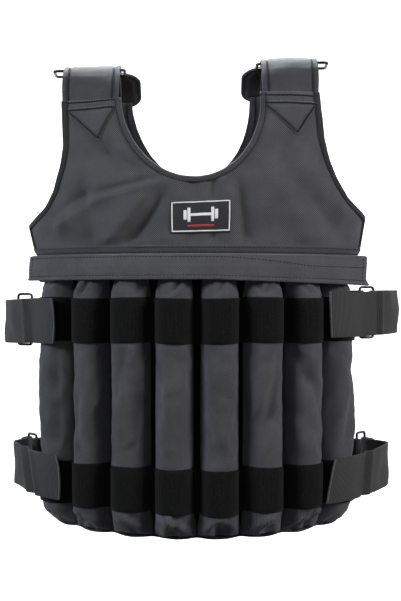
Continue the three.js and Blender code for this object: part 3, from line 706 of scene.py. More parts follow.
def add_wrap(name, edge, out, face, material, replaces, reach_in, reach_out, seed):
    """A folded tape along a rim. Returns the threads that hold it."""
    wobble = smooth_noise(edge, 9, seed)[:, None] * 0.35
    outline = wrap_outline(reach_in, reach_out)
    rings = np.stack([edge + out * (u + wobble * (1 if u > 1 else 0.3)) + face * v for u, v in outline], 1)
    add_tube(name, rings, material, replaces)
    line = edge - out * (reach_in - 1.1) + face * TAPE_HALF
    return stitch_points(line, face, length=2.4, gap=0.8, radius=0.7)


def add_bindings(prefix, half):
    name = f"{prefix}_neck_binding"
    angle, level = neck_line(half, math.pi / 2, -math.pi / 2, 90)
    rim = rim_frame(half, -angle, level, half)
    threads = add_wrap(name, *rim, STRAP_CLOTH, (name,), 4.4, 3.0, half + 2.0)
    edges = (("armhole", np.linspace(NECKS[half][2], UNDERARM, 70), 5.2, 3.0, 5.0),
             ("side", np.linspace(UNDERARM + 0.003, SEAM - 0.004, 20), 4.6, 1.6, 9.0))
    for part, levels, reach_in, reach_out, seed in edges:
        for label, side in (("left", -1), ("right", 1)):
            name = f"{prefix}_{part}_binding_{label}"
            replaces = (name,) if part == "armhole" else ()
            rim = rim_frame(half, side * edge_angle(levels, side), levels, side * half)
            threads += add_wrap(name, *rim, TAPE, replaces, reach_in, reach_out, side + seed)
    add_threads(f"{prefix}_binding_stitches", threads)


# Pockets

FILLS = {
    "level": [POCKET_TOP, BODY_TOP, 0.49, UPPER_BAND, BAND_END, 0.74, LOWER_BAND, TUCK, 0.98, 0.999],
    "width": [0.8, 0.88, 0.95, 1, 1, 1, 1, 1, 1, 1],
    FRONT: [0.32, 0.62, 0.9, 1, 1, 1.04, 1, 1, 0.88, 0.42],
    BACK: [0.32, 0.66, 0.85, 1, 1, 1.02, 1, 1, 0.88, 0.42],
}
POCKET_ROWS, CROWN_COLUMNS, BASE_COLUMNS = 96, 30, 8
# How far the cloth may move from the pocket's plain shape, and the frames it gets to settle
POCKET_SWELL, SETTLE_FRAMES = 5.0, 18
# The dark groove on each side of every pocket, from the left, in millimetres.
GROOVES = {FRONT: [2, 7, 3, 5, 7, 5, 3, 4, 2], BACK: [2, 4, 4, 4, 4, 4, 4, 4, 2]}


def pocket_edges(half, index):
    """Where a pocket starts and ends round the body."""
    left = (index - POCKETS / 2) * PITCH
    return left + GROOVES[half][index] / 2, left + PITCH - GROOVES[half][index + 1] / 2


# Dents of the front pockets between the bands, and the gathers at their bottoms, by the pocket's number
# from the left. The rows are like those of FOLDS, with places counted from the pocket's middle.
DENTS = {
    1: [((12, 312), (15, 424), -5.0, 7), ((-9, 318), (-6, 400), 2.0, 5)],
    2: [((-12, 314), (-8, 392), -4.2, 6), ((-10, 388), (-2, 428), -2.6, 8),
        ((-14, 487), (21, 509), 4.5, 4.5), ((-18, 496), (4, 509), -5, 4.5)],
    3: [((2, 318), (-8, 362), -2.8, 7), ((15, 352), (10, 425), -4.6, 7), ((8, 310), (12, 332), 2.6, 6),
        ((-8, 487), (22, 509), 4.5, 4.5), ((2, 486), (22, 498), -5, 4)],
    4: [((-20, 318), (-9, 350), -5.0, 5), ((-16, 350), (-12, 386), -3.0, 5), ((16, 322), (18, 420), 1.6, 2.2),
        ((-12, 490), (21, 509), 4.5, 4.5), ((4, 488), (22, 499), -5.5, 4)],
    5: [((-14, 396), (-6, 434), -4.0, 7), ((17, 374), (12, 430), -4.4, 6), ((-20, 509), (-1, 491), 4.5, 4),
        ((20, 509), (-1, 491), 4.5, 4), ((0, 497), (0, 510), -6, 6)],
    6: [((12, 322), (-4, 398), -5.0, 10), ((10, 352), (-11, 408), -2.4, 8), ((-14, 322), (-10, 380), 2.6, 6),
        ((-20, 507), (6, 489), 4.5, 4.5), ((-4, 509), (18, 496), -5, 4.5)],
    7: [((-16, 322), (-6, 352), -4.4, 6), ((-4, 342), (10, 384), -3.0, 6),
        ((-18, 505), (14, 487), 4.5, 4.5), ((-4, 508), (16, 497), -4.5, 4.5)],
    8: [((18, 308), (-6, 420), -3.6, 5), ((22, 330), (2, 432), 2.4, 5)],
}


def crown(share):
    """How full a pocket is across its width, from 0 at its seams to 1."""
    reach = np.abs(2 * share - 1)
    return np.clip(1 - reach ** 2.4, 0, 1) ** (1 / 1.7) * (1 + 0.04 * (1 - reach ** 2))


def pocket_shape(half, index, rng):
    """The rows and columns of a pocket's skin, with its crease pattern."""
    levels = np.interp(np.linspace(0, 1, POCKET_ROWS), [0, 0.2, 0.85, 1], [POCKET_TOP, 0.53, 0.9, 0.999])
    fill = np.interp(levels, FILLS["level"], FILLS[half])
    kernel = np.hanning(9)
    fill = np.convolve(np.pad(fill, 4, mode="edge"), kernel / kernel.sum(), "valid")
    turn = np.linspace(math.pi, 0, CROWN_COLUMNS)
    share = np.concatenate([0.5 + 0.5 * np.cos(turn), np.linspace(1, 0, BASE_COLUMNS + 2)[1:-1]])
    height = np.concatenate([crown(share[:CROWN_COLUMNS]), np.zeros(BASE_COLUMNS)])
    start, end = pocket_edges(half, index)
    narrow = np.interp(levels, FILLS["level"], FILLS["width"])[:, None]
    middle = (index + 0.5 - POCKETS / 2) * PITCH
    closed = np.clip((levels - 0.945) / 0.04, 0, 1)[:, None]
    wide = (end - start) * narrow * (1 - closed) + (PITCH - 1) * closed
    centre = (start + end) / 2 * (1 - closed) + middle * closed
    if index in (0, POCKETS - 1):
        centre = centre + math.copysign(0.5, middle) * (1 - narrow) * (end - start) * (levels < 0.6)[:, None]
    angle = arc_angle(centre + (share[None, :] - 0.5) * wide)
    down = levels[:, None] * LENGTH
    across = (share[None, :] - 0.5) * 2
    above, below = UPPER_BAND * LENGTH - down, down - (LOWER_BAND + BAND_HEIGHT) * LENGTH
    top, low = np.clip(above / 8, 0, 1), np.clip(below / 7, 0, 1)
    free = np.clip((down - BAND_END * LENGTH) / 14, 0, 1) * np.clip((LOWER_BAND * LENGTH - down) / 14, 0, 1)
    crease = np.zeros((POCKET_ROWS, len(share)))
    for _ in range(5):
        place, lean, wide = rng.uniform(-0.7, 0.7), rng.uniform(-0.04, 0.04), rng.uniform(0.08, 0.2)
        crease += top * rng.uniform(-6.5, 4.5) * bump(across, place + lean * above, wide)
    for _ in range(4):
        place, lean, wide = rng.uniform(-0.4, 0.4), rng.uniform(-0.05, 0.05), rng.uniform(0.1, 0.22)
        crease += low * rng.uniform(-8.0, 5.0) * bump(across, place + lean * (below - 11), wide)
    for _ in range(3):
        centre, place = rng.uniform(320, 425), rng.uniform(-0.7, 0.7)
        lean, size = rng.uniform(-0.012, 0.012), rng.uniform(22, 46)
        line = place + lean * (down - centre)
        crease += free * rng.uniform(-2.6, 1.6) * bump(across, line, 0.25) * bump(down, centre, size)
    dented = np.zeros(crease.shape)
    if half == FRONT:
        crease = crease * np.where(free > 0, 0.6, 0.85)
        places = np.broadcast_arrays(across * (PITCH / 2), down)
        dented = fold_height(*places, DENTS[index + 1]) * np.clip(2 * free + low, 0, 1) * 1.25
    out = SEAT + height[None, :] * (POCKET_DEPTH * fill[:, None] + crease)
    level = np.repeat(levels[:, None], len(share), 1)
    return angle, level, out, height, dented * height[None, :]


def held_rows(down):
    """Where the cloth of a pocket can't move: at its two ends and under the loop tapes."""
    ends = np.maximum(bump(down, POCKET_TOP * LENGTH, 4), bump(down, HEM * LENGTH, 4))
    for start in (UPPER_BAND, LOWER_BAND):
        middle = start * LENGTH + BAND / 2
        ends = np.maximum(ends, np.clip((BAND / 2 + 4 - np.abs(down - middle)) / 6, 0, 1))
    return ends


def simulate_pocket(rings, held, height):
    """Cloth a little larger than the pocket, pressed out by the filling, wrinkles between its seams."""
    points = rings.reshape(-1, 3)
    faces = outward(points, tube_faces(*rings.shape[:2]))
    mesh = bpy.data.meshes.new("pocket_cloth")
    mesh.from_pydata((points * MM).tolist(), [], faces)
    cloth = bpy.data.objects.new("pocket_cloth", mesh)
    bpy.context.scene.collection.objects.link(cloth)
    pins = cloth.vertex_groups.new(name="pins")
    weights = np.maximum(held[:, None], (height < 0.3)[None, :] * 1.0).ravel()
    for i, weight in enumerate(weights):
        if weight > 0.02:
            pins.add([i], float(min(1, weight)), "REPLACE")
    modifier = cloth.modifiers.new("cloth", "CLOTH")
    settings = modifier.settings
    settings.quality = 4
    settings.mass = 0.25
    settings.tension_stiffness = settings.compression_stiffness = 12
    settings.shear_stiffness = 4
    settings.bending_stiffness = 0.4
    settings.tension_damping = settings.compression_damping = settings.shear_damping = 8
    settings.use_pressure = True
    settings.uniform_pressure_force = 3.5
    settings.shrink_min = -0.035
    settings.vertex_group_mass = "pins"
    settings.pin_stiffness = 2
    settings.effector_weights.gravity = 0
    modifier.collision_settings.use_collision = False
    modifier.point_cache.frame_start = 1
    modifier.point_cache.frame_end = SETTLE_FRAMES
    scene = bpy.context.scene
    for step in range(1, SETTLE_FRAMES + 1):
        scene.frame_set(step)
    shape = cloth.evaluated_get(bpy.context.evaluated_depsgraph_get())
    moved = np.empty(len(shape.data.vertices) * 3)
    shape.data.vertices.foreach_get("co", moved)
    bpy.data.objects.remove(cloth)
    scene.frame_set(1)
    shift = (moved.reshape(-1, 3) / MM - points).reshape(rings.shape)
    size = np.linalg.norm(shift, axis=-1, keepdims=True)
    shift *= np.minimum(1, POCKET_SWELL / np.maximum(size, 1e-6))
    for _ in range(2):
        shift[1:-1] = (shift[:-2] + 2 * shift[1:-1] + shift[2:]) / 4
    return shift


def add_pocket(prefix, half, index):
    rng = random.Random(100 * (half + 2) + index)
    angle, level, out, height, dented = pocket_shape(half, index, rng)
    rings = on_body(half, angle, level, out)
    soft = smooth_noise(rings, 24, index + 20 * half) * 0.9 + smooth_noise(rings, 8, index + 9.5) * 0.22
    rings = on_body(half, angle, level, out + soft * height[None, :])
    held = held_rows(level[:, 0] * LENGTH)
    # The outer flanks of the end pockets keep their straight outline.
    outer_flank = {0: -1, POCKETS - 1: 1}.get(index, 0)
    sideways = np.cos(np.linspace(math.pi, 0, CROWN_COLUMNS))
    free = 1 - 0.8 * np.clip(outer_flank * sideways * 1.4, 0, 1)
    free = np.concatenate([free, np.ones(BASE_COLUMNS)])[None, :, None]
    rings = rings + simulate_pocket(rings, held, height) * free * 0.8
    rings = rings + on_body(half, angle, level, out + dented) - on_body(half, angle, level, out)
    name = f"{prefix}_pocket_{index + 1}"
    piece = add_tube(name, rings, CLOTH, (name,))


# Bands, flap and seam tape


def add_loop_band(name, level, sags):
    """Loop tape laid over the crowns of the pockets and a little way into each groove. sags gives how much
    lower it hangs on each pocket."""
    columns = 22
    angles, outs, drops = [], [], []
    for index in range(POCKETS):
        start, end = pocket_edges(FRONT, index)
        share = 0.5 + 0.5 * np.cos(np.linspace(math.pi * 0.93, math.pi * 0.07, columns))
        angles += list(arc_angle(start + share * (end - start)))
        outs += list(crown(share) * POCKET_DEPTH + 1.3)
        drops += [sags[index]] * columns
        if index < POCKETS - 1:
            angles.append(float(arc_angle((index + 1 - POCKETS / 2) * PITCH)))
            outs.append(min(outs[-1], crown(np.array([0.045]))[0] * POCKET_DEPTH) - 1.2)
            drops.append((sags[index] + sags[index + 1]) / 2)
    rows = np.linspace(level, level + BAND_HEIGHT, 12)
    ripple = 0.6 / LENGTH
    angles, outs = np.array(angles), np.array(outs)
    levels = rows[:, None] + ripple * np.sin(angles * 9 + level * 40) + np.array(drops) / LENGTH
    fade = np.interp(rows, [rows[0], rows[1], rows[-2], rows[-1]], [0.4, 0, 0, 0.4])[:, None]
    outer = on_body(FRONT, angles[None, :], levels, SEAT + outs[None, :] + 1.5 - fade)
    inner = on_body(FRONT, angles[None, :], levels, SEAT + outs[None, :])
    add_shell(name, outer, inner, PILE, (name,))


def add_seam_tape():
    levels = np.linspace(SEAM - 0.004, FLAP_TOP + 0.002, 8)
    shares = np.linspace(-1, 1, 120)
    angle = shares[None, :] * edge_angle(levels)[:, None]
    level = np.repeat(levels[:, None], len(shares), 1)
    swell = np.sin(np.linspace(0, math.pi, 8))[:, None] * 0.5
    outer = on_body(FRONT, angle, level, SEAT + 1.3 + swell)
    inner = on_body(FRONT, angle, level, SEAT + 0.1)
    add_shell("front_flap_seam", outer, inner, STRAP_CLOTH, ("front_flap_seam",))
    threads = []
    for row in (1, 4):
        threads += stitch_points(outer[row], unit(outer[row] - inner[row]))
    add_threads("seam_stitches", threads)


def add_flap(name, half):
    """The cover over the pocket mouths, sewn along its top, its free edge turned and stitched."""
    columns = 150
    shares = np.linspace(-1, 1, columns)
    rows = np.linspace(0, 1, 22)
    levels = np.interp(rows, [0, 1], [FLAP_TOP - 0.002, BODY_TOP])[:, None] * np.ones((1, columns))
    out_share = np.interp(rows, [0, 0.08, 0.5, 1], [0.06, 0.16, 0.52, 0.8])[:, None]
    flare = np.interp(rows, [0, 0.5, 1], [7, 6, 8])[:, None] * shares ** 4
    droop = np.zeros(columns)
    if half == FRONT:
        # Its right side hangs lower and stands off further.
        flare = flare + 3.5 * np.clip(shares, 0, 1) ** 6
        levels = levels + 0.0115 * np.clip(shares - 0.1, 0, 1) ** 0.8 * rows[:, None]
        droop = 6.5 * np.clip((shares - 0.1) / 0.45, 0, 1) ** 1.3
    drape = 0.9 * np.sin(shares * RUN / PITCH * math.pi * 2 + 1.2) * rows[:, None] ** 2
    angle = shares * RUN_ANGLE * np.ones_like(levels)
    soft = smooth_noise(on_body(half, angle, levels, 10), 30, 3.1 + half) * 1.2 * rows[:, None]
    hem = 0.5 * bump(rows, 0.84, 0.04)[:, None] + 0.5 * bump(rows, 0.12, 0.04)[:, None]
    out = SEAT + 0.6 + out_share * POCKET_DEPTH + flare + drape + soft - hem
    outer = on_body(half, angle, levels, out + 2.6)
    inner = on_body(half, angle, levels, out)
    piece = add_shell(name, outer, inner, CLOTH, (name,))
    threads = []
    every = np.arange(columns)
    for row in (2 + droop, np.full(columns, 18.0)):
        low, part = row.astype(int), (row % 1)[:, None]
        line = outer[low, every] * (1 - part) + outer[low + 1, every] * part
        threads += stitch_points(line, unit(outer[low, every] - inner[low, every]))
    for column in (3, columns - 4):
        line = outer[1:-1, column]
        threads += stitch_points(line, unit(line - inner[1:-1, column]))
    add_threads(f"{name}_stitches", threads)


# Shoulder patches: the strap's pointed end sewn on the chest, by its two upper corners and its tip.

SHOULDER_PATCHES = [
    {"label": "left", "corners": ((-140, 45.5), (-81, 43.5)), "tip": (-103, 85.5), "seam": 6.6},
    {"label": "right", "corners": ((77, 47), (141, 48)), "tip": (113, 88.5), "seam": 7.2},
]


def chest_points(x, down, out):
    """Points on the front of the chest cloth, standing off it by out."""
    a = HALF_WIDTH * lookup(down / LENGTH, WIDTH_AT)
    angle = np.arcsin(np.clip(x / a, -0.98, 0.98))
    plain = on_body(FRONT, angle, down / LENGTH, PANEL)
    rest = panel_lift(FRONT, plain, np.ones_like(x))
    return on_body(FRONT, angle, down / LENGTH, PANEL + rest + out)


def chest_stitches(corners, count, out, radius):
    """Threads on the chest cloth through a few corners."""
    line = resample([(*corner, 0) for corner in corners], count)
    points = chest_points(line[:, 0], line[:, 1], out)
    face = unit(chest_points(line[:, 0], line[:, 1], out + 1) - points)
    return stitch_points(points, face, gap=0.5, radius=radius)


def add_shoulder_patch(row):
    rows, columns = 22, 26
    share = np.linspace(0, 0.97, rows)[:, None]
    across = np.linspace(0, 1, columns)[None, :]
    (x0, z0), (x1, z1), (xt, zt) = *row["corners"], row["tip"]
    left_x, right_x = x0 + (xt - x0) * share, x1 + (xt - x1) * share
    left_z, right_z = z0 + (zt - z0) * share, z1 + (zt - z1) * share
    x, down = left_x + (right_x - left_x) * across, left_z + (right_z - left_z) * across
    rim = np.minimum(np.minimum(across, 1 - across) * (1 - share) * 52, np.minimum(share, 1 - share) * 34)
    swell = 0.5 + 0.8 * np.clip(rim / 5, 0, 1) - 1.1 * bump(rim, 3.0, 1.4)
    outer = chest_points(x, down, 0.35 + swell)
    inner = chest_points(x, down, 0.2)
    add_shell(f"shoulder_patch_{row['label']}", outer, inner, CLOTH)
    corners = [(x0 + 3, z0 + 2), (x1 - 3, z1 + 2), (xt, zt - 4.5), (x0 + 3, z0 + 2)]
    threads = chest_stitches(corners, 120, 1.0, 0.85)
    ends = [(x0 - 3, z0 - row["seam"]), (x1 + 2, z1 - row["seam"])]
    threads += chest_stitches(ends, 60, 0.3, 0.95)
    add_threads(f"patch_stitches_{row['label']}", threads)


# Label

# A dumbbell, as the place, width and height of each bar
LABEL_BARS = [(0, 22, 2.6), (-12.5, 3, 15), (-16.5, 3, 10), (12.5, 3, 15), (16.5, 3, 10)]
PATCH_LIFT, PATCH_THICKNESS, THREAD_LIFT, THREAD_THICKNESS = 0.45, 0.8, 1.28, 0.35


def label_sheet(name, box, material, lift=THREAD_LIFT, thickness=THREAD_THICKNESS, replaces=(), grid=(10, 6)):
    """A flat sheet on the chest, in a box of left, right, top and bottom."""
    x, down = np.meshgrid(np.linspace(*box[:2], grid[0]), np.linspace(*box[2:], grid[1]))
    angle = np.arcsin(x / (HALF_WIDTH * lookup(LABEL_LEVEL, WIDTH_AT)))
    rest = panel_lift(FRONT, on_body(FRONT, angle, down / LENGTH, PANEL), np.ones_like(x))
    outer = on_body(FRONT, angle, down / LENGTH, PANEL + rest + lift + thickness)
    inner = on_body(FRONT, angle, down / LENGTH, PANEL + rest + lift)
    add_shell(name, outer, inner, material, replaces)


def add_label():
    middle, down = LABEL_OFFSET, LABEL_LEVEL * LENGTH
    box = (middle - LABEL_WIDTH / 2, middle + LABEL_WIDTH / 2,
           down - LABEL_HEIGHT / 2, down + LABEL_HEIGHT / 2)
    label_sheet("chest_label", box, PATCH, PATCH_LIFT, PATCH_THICKNESS, ("chest_label",), (34, 20))
    edge, wide = 1.4, 1.0
    left, right, top, bottom = box[0] + edge, box[1] - edge, box[2] + edge, box[3] - edge
    border = [(left, right, top, top + wide), (left, right, bottom - wide, bottom),
              (left, left + wide, top + wide, bottom - wide),
              (right - wide, right, top + wide, bottom - wide)]
    for n, bar in enumerate(border):
        label_sheet(f"label_border_{n + 1}", bar, WHITE_THREAD, grid=(30, 3) if n < 2 else (3, 20))
    for n, (place, width, height) in enumerate(LABEL_BARS):
        x, z = middle + place, down - 2
        bar = (x - width / 2, x + width / 2, z - height / 2, z + height / 2)
        label_sheet(f"label_motif_{n + 1}", bar, WHITE_THREAD)
    label_sheet("label_line", (middle - 14, middle + 14, down + 9, down + 10.6), RED_THREAD)


# Straps


RING_FRONT, RING_BACK = math.radians(83), math.radians(108)
GAP = WIRE / 2 + 0.4 + STRAP_THICKNESS / 2
LOW = STRAP_THICKNESS / 2
RING_LIFT = LOW + GAP
HIGH = RING_LIFT + GAP
X_WAY, Y_WAY, Z_WAY = np.eye(3)


def strap_section(width, thickness, columns, groove):
    """A flat outline with rounded edges, as (across, off the face) pairs. groove sinks a sewn line 7 mm in,
    on the outer face only, or on both faces 4 mm in where it is below zero."""
    half, t = width / 2, thickness / 2
    places = np.linspace(t - half, half - t, columns)
    side = [(half - t + t * math.sin(a), t * math.cos(a)) for a in np.linspace(0.5, math.pi - 0.5, 4)]
    if groove < 0:
        face = [(x, t + groove * float(bump(abs(x), half - 4, 1.2))) for x in places]
        back = [(-x, -z) for x, z in face]
    else:
        sewn, crowned = bump(np.abs(places), half - 7, 1.4), bump(places, 0, half * 0.7)
        face = list(zip(places, t - groove * sewn + 0.5 * groove * crowned))
        back = [(-x, -t) for x in places]
    return face + side + back + [(-x, -z) for x, z in side]


def strap_rings(path, across, width, thickness, columns, groove=0.0, ripple=0.0, seed=0.0):
    """Outlines of a flat strap along a path. across gives its width's direction at each point."""
    side = unit(across)
    face = unit(np.cross(unit(np.gradient(path, axis=0)), side))
    widths = np.broadcast_to(width, len(path))
    rings = []
    for i in range(len(path)):
        section = strap_section(widths[i], thickness, columns, groove)
        rings.append([path[i] + side[i] * u + face[i] * v for u, v in section])
    rings = np.array(rings)
    if ripple:
        rings += face[:, None, :] * (smooth_noise(rings, 17, seed) * ripple)[..., None]
    return rings, side, face


def arch_reach(x):
    a = HALF_WIDTH * SECTIONS["width"][0]
    b = HALF_DEPTH * SECTIONS["depth"][0]
    foot = math.asin(1 - TOP * LENGTH / ARCH)
    return b * math.sqrt(1 - (x / a) ** 2) / math.cos(foot) - STRAP_SEAT - STRAP_THICKNESS


def on_arch(x, turn, lift):
    share = min(1, max(0, (math.sin(turn) - 0.3) / 0.45))
    reach = arch_reach(x) + share * (arch_reach(STRAP_X) - arch_reach(x))
    return np.array([x, -(reach + lift) * math.cos(turn), -ARCH + (ARCH + lift) * math.sin(turn)])


def behind_panel(half, x):
    points = []
    for level in (0.145, 0.11, 0.08):
        a = HALF_WIDTH * lookup(level, WIDTH_AT)
        points.append(on_body(half, math.asin(x / a), level, -STRAP_SEAT - STRAP_THICKNESS / 2))
    return points


def round_wire(wire, start, end):
    return round_points(wire, GAP, Y_WAY, Z_WAY, np.linspace(start, end, 11))


def front_strap_edge(x):
    path = behind_panel(FRONT, x)
    for degrees in (20, 30, 40, 50, 60, 68):
        rise = min(1, max(0, (degrees - 24) / 52))
        path.append(on_arch(x, math.radians(degrees), LOW + rise * (HIGH - LOW)))
    wire = on_arch(x, RING_FRONT, RING_LIFT)
    lean = math.pi / 2 - RING_FRONT
    path += round_wire(wire, math.pi / 2 + lean, -math.pi / 2 + lean)
    path.append(on_arch(x, RING_FRONT - STRAP_RETURN / ARCH, LOW))
    return path


def back_strap_edge(x, shift):
    path = behind_panel(BACK, x)
    path += [on_arch(x, math.radians(degrees), LOW) for degrees in (160, 148, 136, 124)]
    wire = on_arch(x, RING_BACK, RING_LIFT)
    lean = math.pi / 2 - RING_BACK
    path += round_wire(wire, 1.5 * math.pi + lean, math.pi / 2 + lean)
    for i, degrees in enumerate(np.linspace(118, 160, 6)):
        share = (i + 1) / 6
        aside = np.array([shift * min(1, 4.2 * share), 0, 0])
        path.append(on_arch(x, math.radians(degrees), HIGH + BACK_STRAP_FLARE * share) + aside)
    return path


def add_wire_ring(name, middle, along, up, length, height, wire):
    """A round wire bent to a rectangle with rounded corners."""
    corner = min(length, height) * 0.15
    along, up = unit(along), unit(up)
    normal = unit(np.cross(along, up))
    rings = []
    for quarter in range(4):
        middle_turn = (quarter + 0.5) * math.pi / 2
        u = math.copysign(length / 2 - wire / 2 - corner, math.cos(middle_turn))
        v = math.copysign(height / 2 - wire / 2 - corner, math.sin(middle_turn))
        for share in np.linspace(0, 1, 9):
            turn = (quarter + share) * math.pi / 2
            way = along * math.cos(turn) + up * math.sin(turn)
            centre = middle + along * u + up * v + way * corner
            rings.append(round_points(centre, wire / 2, way, normal, full_turn(14)))
    add_tube(name, rings, STEEL, (name,), closed=True)


def add_hook_patch(label, middle, way, face):
    """Hook tape sewn on the free end of a back strap, on the side that lies on the front strap's loops."""
    toward = -np.sign(face[:, 1]).mean()
    across = np.linspace(8 - STRAP_WIDTH / 2, STRAP_WIDTH / 2 - 8, 14)[None, :, None]
    base = middle[:, None, :] + way[:, None, :] * across
    off = toward * face[:, None, :]
    outer, inner = base + off * (STRAP_THICKNESS / 2 + 1.1), base + off * (STRAP_THICKNESS / 2 + 0.05)
    add_shell(f"hook_patch_{label}", outer, inner, HOOKS)


def add_front_strap(label, side, xs):
    inner, outer = [smooth_path(front_strap_edge(x), 110, 3) for x in xs]
    middle, across = (inner + outer) / 2, -side * (outer - inner)
    width = STRAP_WIDTH + 4.5
    rings, way, face = strap_rings(middle, across, width, STRAP_THICKNESS, 48, 1.4, 0.5, side + 3.0)
    name = f"front_shoulder_strap_{label}"
    piece = add_tube(name, rings, STRAP_CLOTH, (name,))
    threads = []
    for edge in (-1, 1):
        line = middle + way * edge * (width / 2 - 7) + face * (STRAP_THICKNESS / 2 + 0.2)
        threads += stitch_points(line[18:78], face[18:78], gap=0.6, radius=0.8, sink=0.6)
    line = np.linspace(middle[22] - way[22] * 27, middle[22] + way[22] * 27, 20) + face[22] * 1.8
    threads += stitch_points(line, np.repeat(face[22][None, :], 20, 0))
    add_threads(f"front_strap_stitches_{label}", threads)


def add_back_strap(label, side, xs):
    inner, outer = [smooth_path(back_strap_edge(x, -side * BACK_STRAP_SHIFT), 110, 3) for x in xs]
    middle, across = (inner + outer) / 2, outer - inner
    from_end = run_of(middle[::-1])[::-1]
    near = np.clip(BACK_STRAP_CORNER - from_end, 0, BACK_STRAP_CORNER * 0.98)
    width = STRAP_WIDTH - 2 * (BACK_STRAP_CORNER - np.sqrt(BACK_STRAP_CORNER ** 2 - near ** 2))
    rings, way, face = strap_rings(middle, across, width, STRAP_THICKNESS, 44, -0.7, 0.4, side + 6.0)
    name = f"back_shoulder_strap_{label}"
    piece = add_tube(name, rings, CLOTH, (name,))
    add_hook_patch(label, middle[74:105], way[74:105], face[74:105])
    threads = []
    for edge in (-1, 1):
        line = (middle + way * edge * (STRAP_WIDTH / 2 - 4))[66:100]
        for off in (-face[66:100], face[66:100]):
            threads += stitch_points(line + off * (STRAP_THICKNESS / 2 + 0.1), off)
    add_threads(f"back_strap_stitches_{label}", threads)


def add_shoulder(label, side):
    xs = [side * (STRAP_X - STRAP_WIDTH / 2), side * (STRAP_X + STRAP_WIDTH / 2)]
    add_front_strap(label, side, xs)
    add_back_strap(label, side, xs)
    ring_x = side * (STRAP_X + RING_SHIFT)
    front, back = on_arch(ring_x, RING_FRONT, RING_LIFT), on_arch(ring_x, RING_BACK, RING_LIFT)
    height = np.linalg.norm(back - front) + WIRE
    middle = (front + back) / 2
    add_wire_ring(f"shoulder_ring_{label}", middle, (1, 0, 0), back - front, RING_LENGTH, height, WIRE)


SIDE_STRAPS = [
    {"name": "upper_left", "side": -1, "level": 0.509, "sewn": 147, "lean": -2, "reach": 60, "ring": 43,
     "slip": 1.6, "turn": 31, "rise": -2, "bulge": 3.5,
     "crumples": [(187, 2.2, 3.0, 0.1), (193, -2.0, 3.0, 0.1)]},
    {"name": "upper_right", "side": 1, "level": 0.4953, "sewn": 133, "lean": -2, "reach": 69, "ring": 39,
     "slip": -1.6, "turn": 31, "rise": 2.5, "bulge": 0.5,
     "crumples": [(203, -2.0, 2.5, 0), (208, 1.8, 2.5, 0)]},
    {"name": "lower_left", "side": -1, "level": 0.8394, "sewn": 141, "lean": -4, "reach": 49, "ring": 34,
     "slip": -1.6, "turn": 56, "rise": 1.5, "bulge": 3.5,
     "crumples": [(188, 3.6, 2.6, 0.23), (194, -3.0, 3.0, 0.23), (181, -2.0, 3.0, 0.2)]},
    {"name": "lower_right", "side": 1, "level": 0.8465, "sewn": 134, "lean": 11, "reach": 58, "ring": 32,
     "slip": 1.6, "turn": 56, "rise": 4, "bulge": 1.0,
     "crumples": [(188, -2.8, 2.6, 0.12), (194, 2.4, 3.0, 0.12)]},
]
CROWN_OUT = SEAT + 1.04 * POCKET_DEPTH
# How far the webbing bends round a ring's wire
POST = RING_WIRE / 2 + 1.5 + WEBBING / 2


def round_post(post, start, end):
    return round_points(post, POST, X_WAY, Y_WAY, np.linspace(start, end, 12))


def pocket_points(half, side, runs, level, out):
    return [on_body(half, float(arc_angle(side * run)), level, out) for run in runs]


def side_strap_path(row, side, level, seat, wire):
    """From the sewn end over the pockets, past the flank and round the outer wire of the ring."""
    z = -level * LENGTH + row["rise"]
    reach = HALF_WIDTH + row["reach"]
    fold = np.array([side * reach, FOLD_BACK, z])
    flank = np.array([side * (reach - FLANK_INSET), -FLANK_FORWARD, z - row["rise"] / 4])
    toward = fold - wire
    heading = math.atan2(toward[1], toward[0])
    bend = round_post(wire, heading - side * math.pi / 2, heading - side * 1.5 * math.pi)
    toward = unit(toward)
    runs = (row["sewn"], row["sewn"] + 8, 160, 169, 177)
    on_pocket = pocket_points(FRONT, side, runs, level, seat)
    free = curve_through([*on_pocket, flank, fold, bend[0] + toward * 12], 80)
    return smooth_path(np.array([*free, *bend, bend[-1] + toward * 13]), 150, 2)


def crumple(row, side, path, rings, face):
    """Lets the free part ripple, and creases it where the webbing turns back. Returns each point's rise."""
    count = np.arange(len(path))
    loose = np.clip((count - 40) / 20, 0, 1) * np.clip((120 - count) / 20, 0, 1)
    ripple = smooth_noise(rings, 26, side + row["reach"]) * loose[:, None] * 2.4
    rings += face[:, None, :] * ripple[..., None]
    rise = rings[..., 2] - path[:, None, 2]
    before_fold = (count < np.argmax(np.abs(path[:, 0])) - 3)[:, None]
    flat_x = np.abs(rings[..., 0])
    for place, height, width, slant in row["crumples"]:
        swell = height * bump(flat_x, place + slant * rise, width) * before_fold
        rings += face[:, None, :] * swell[..., None]
    return rise


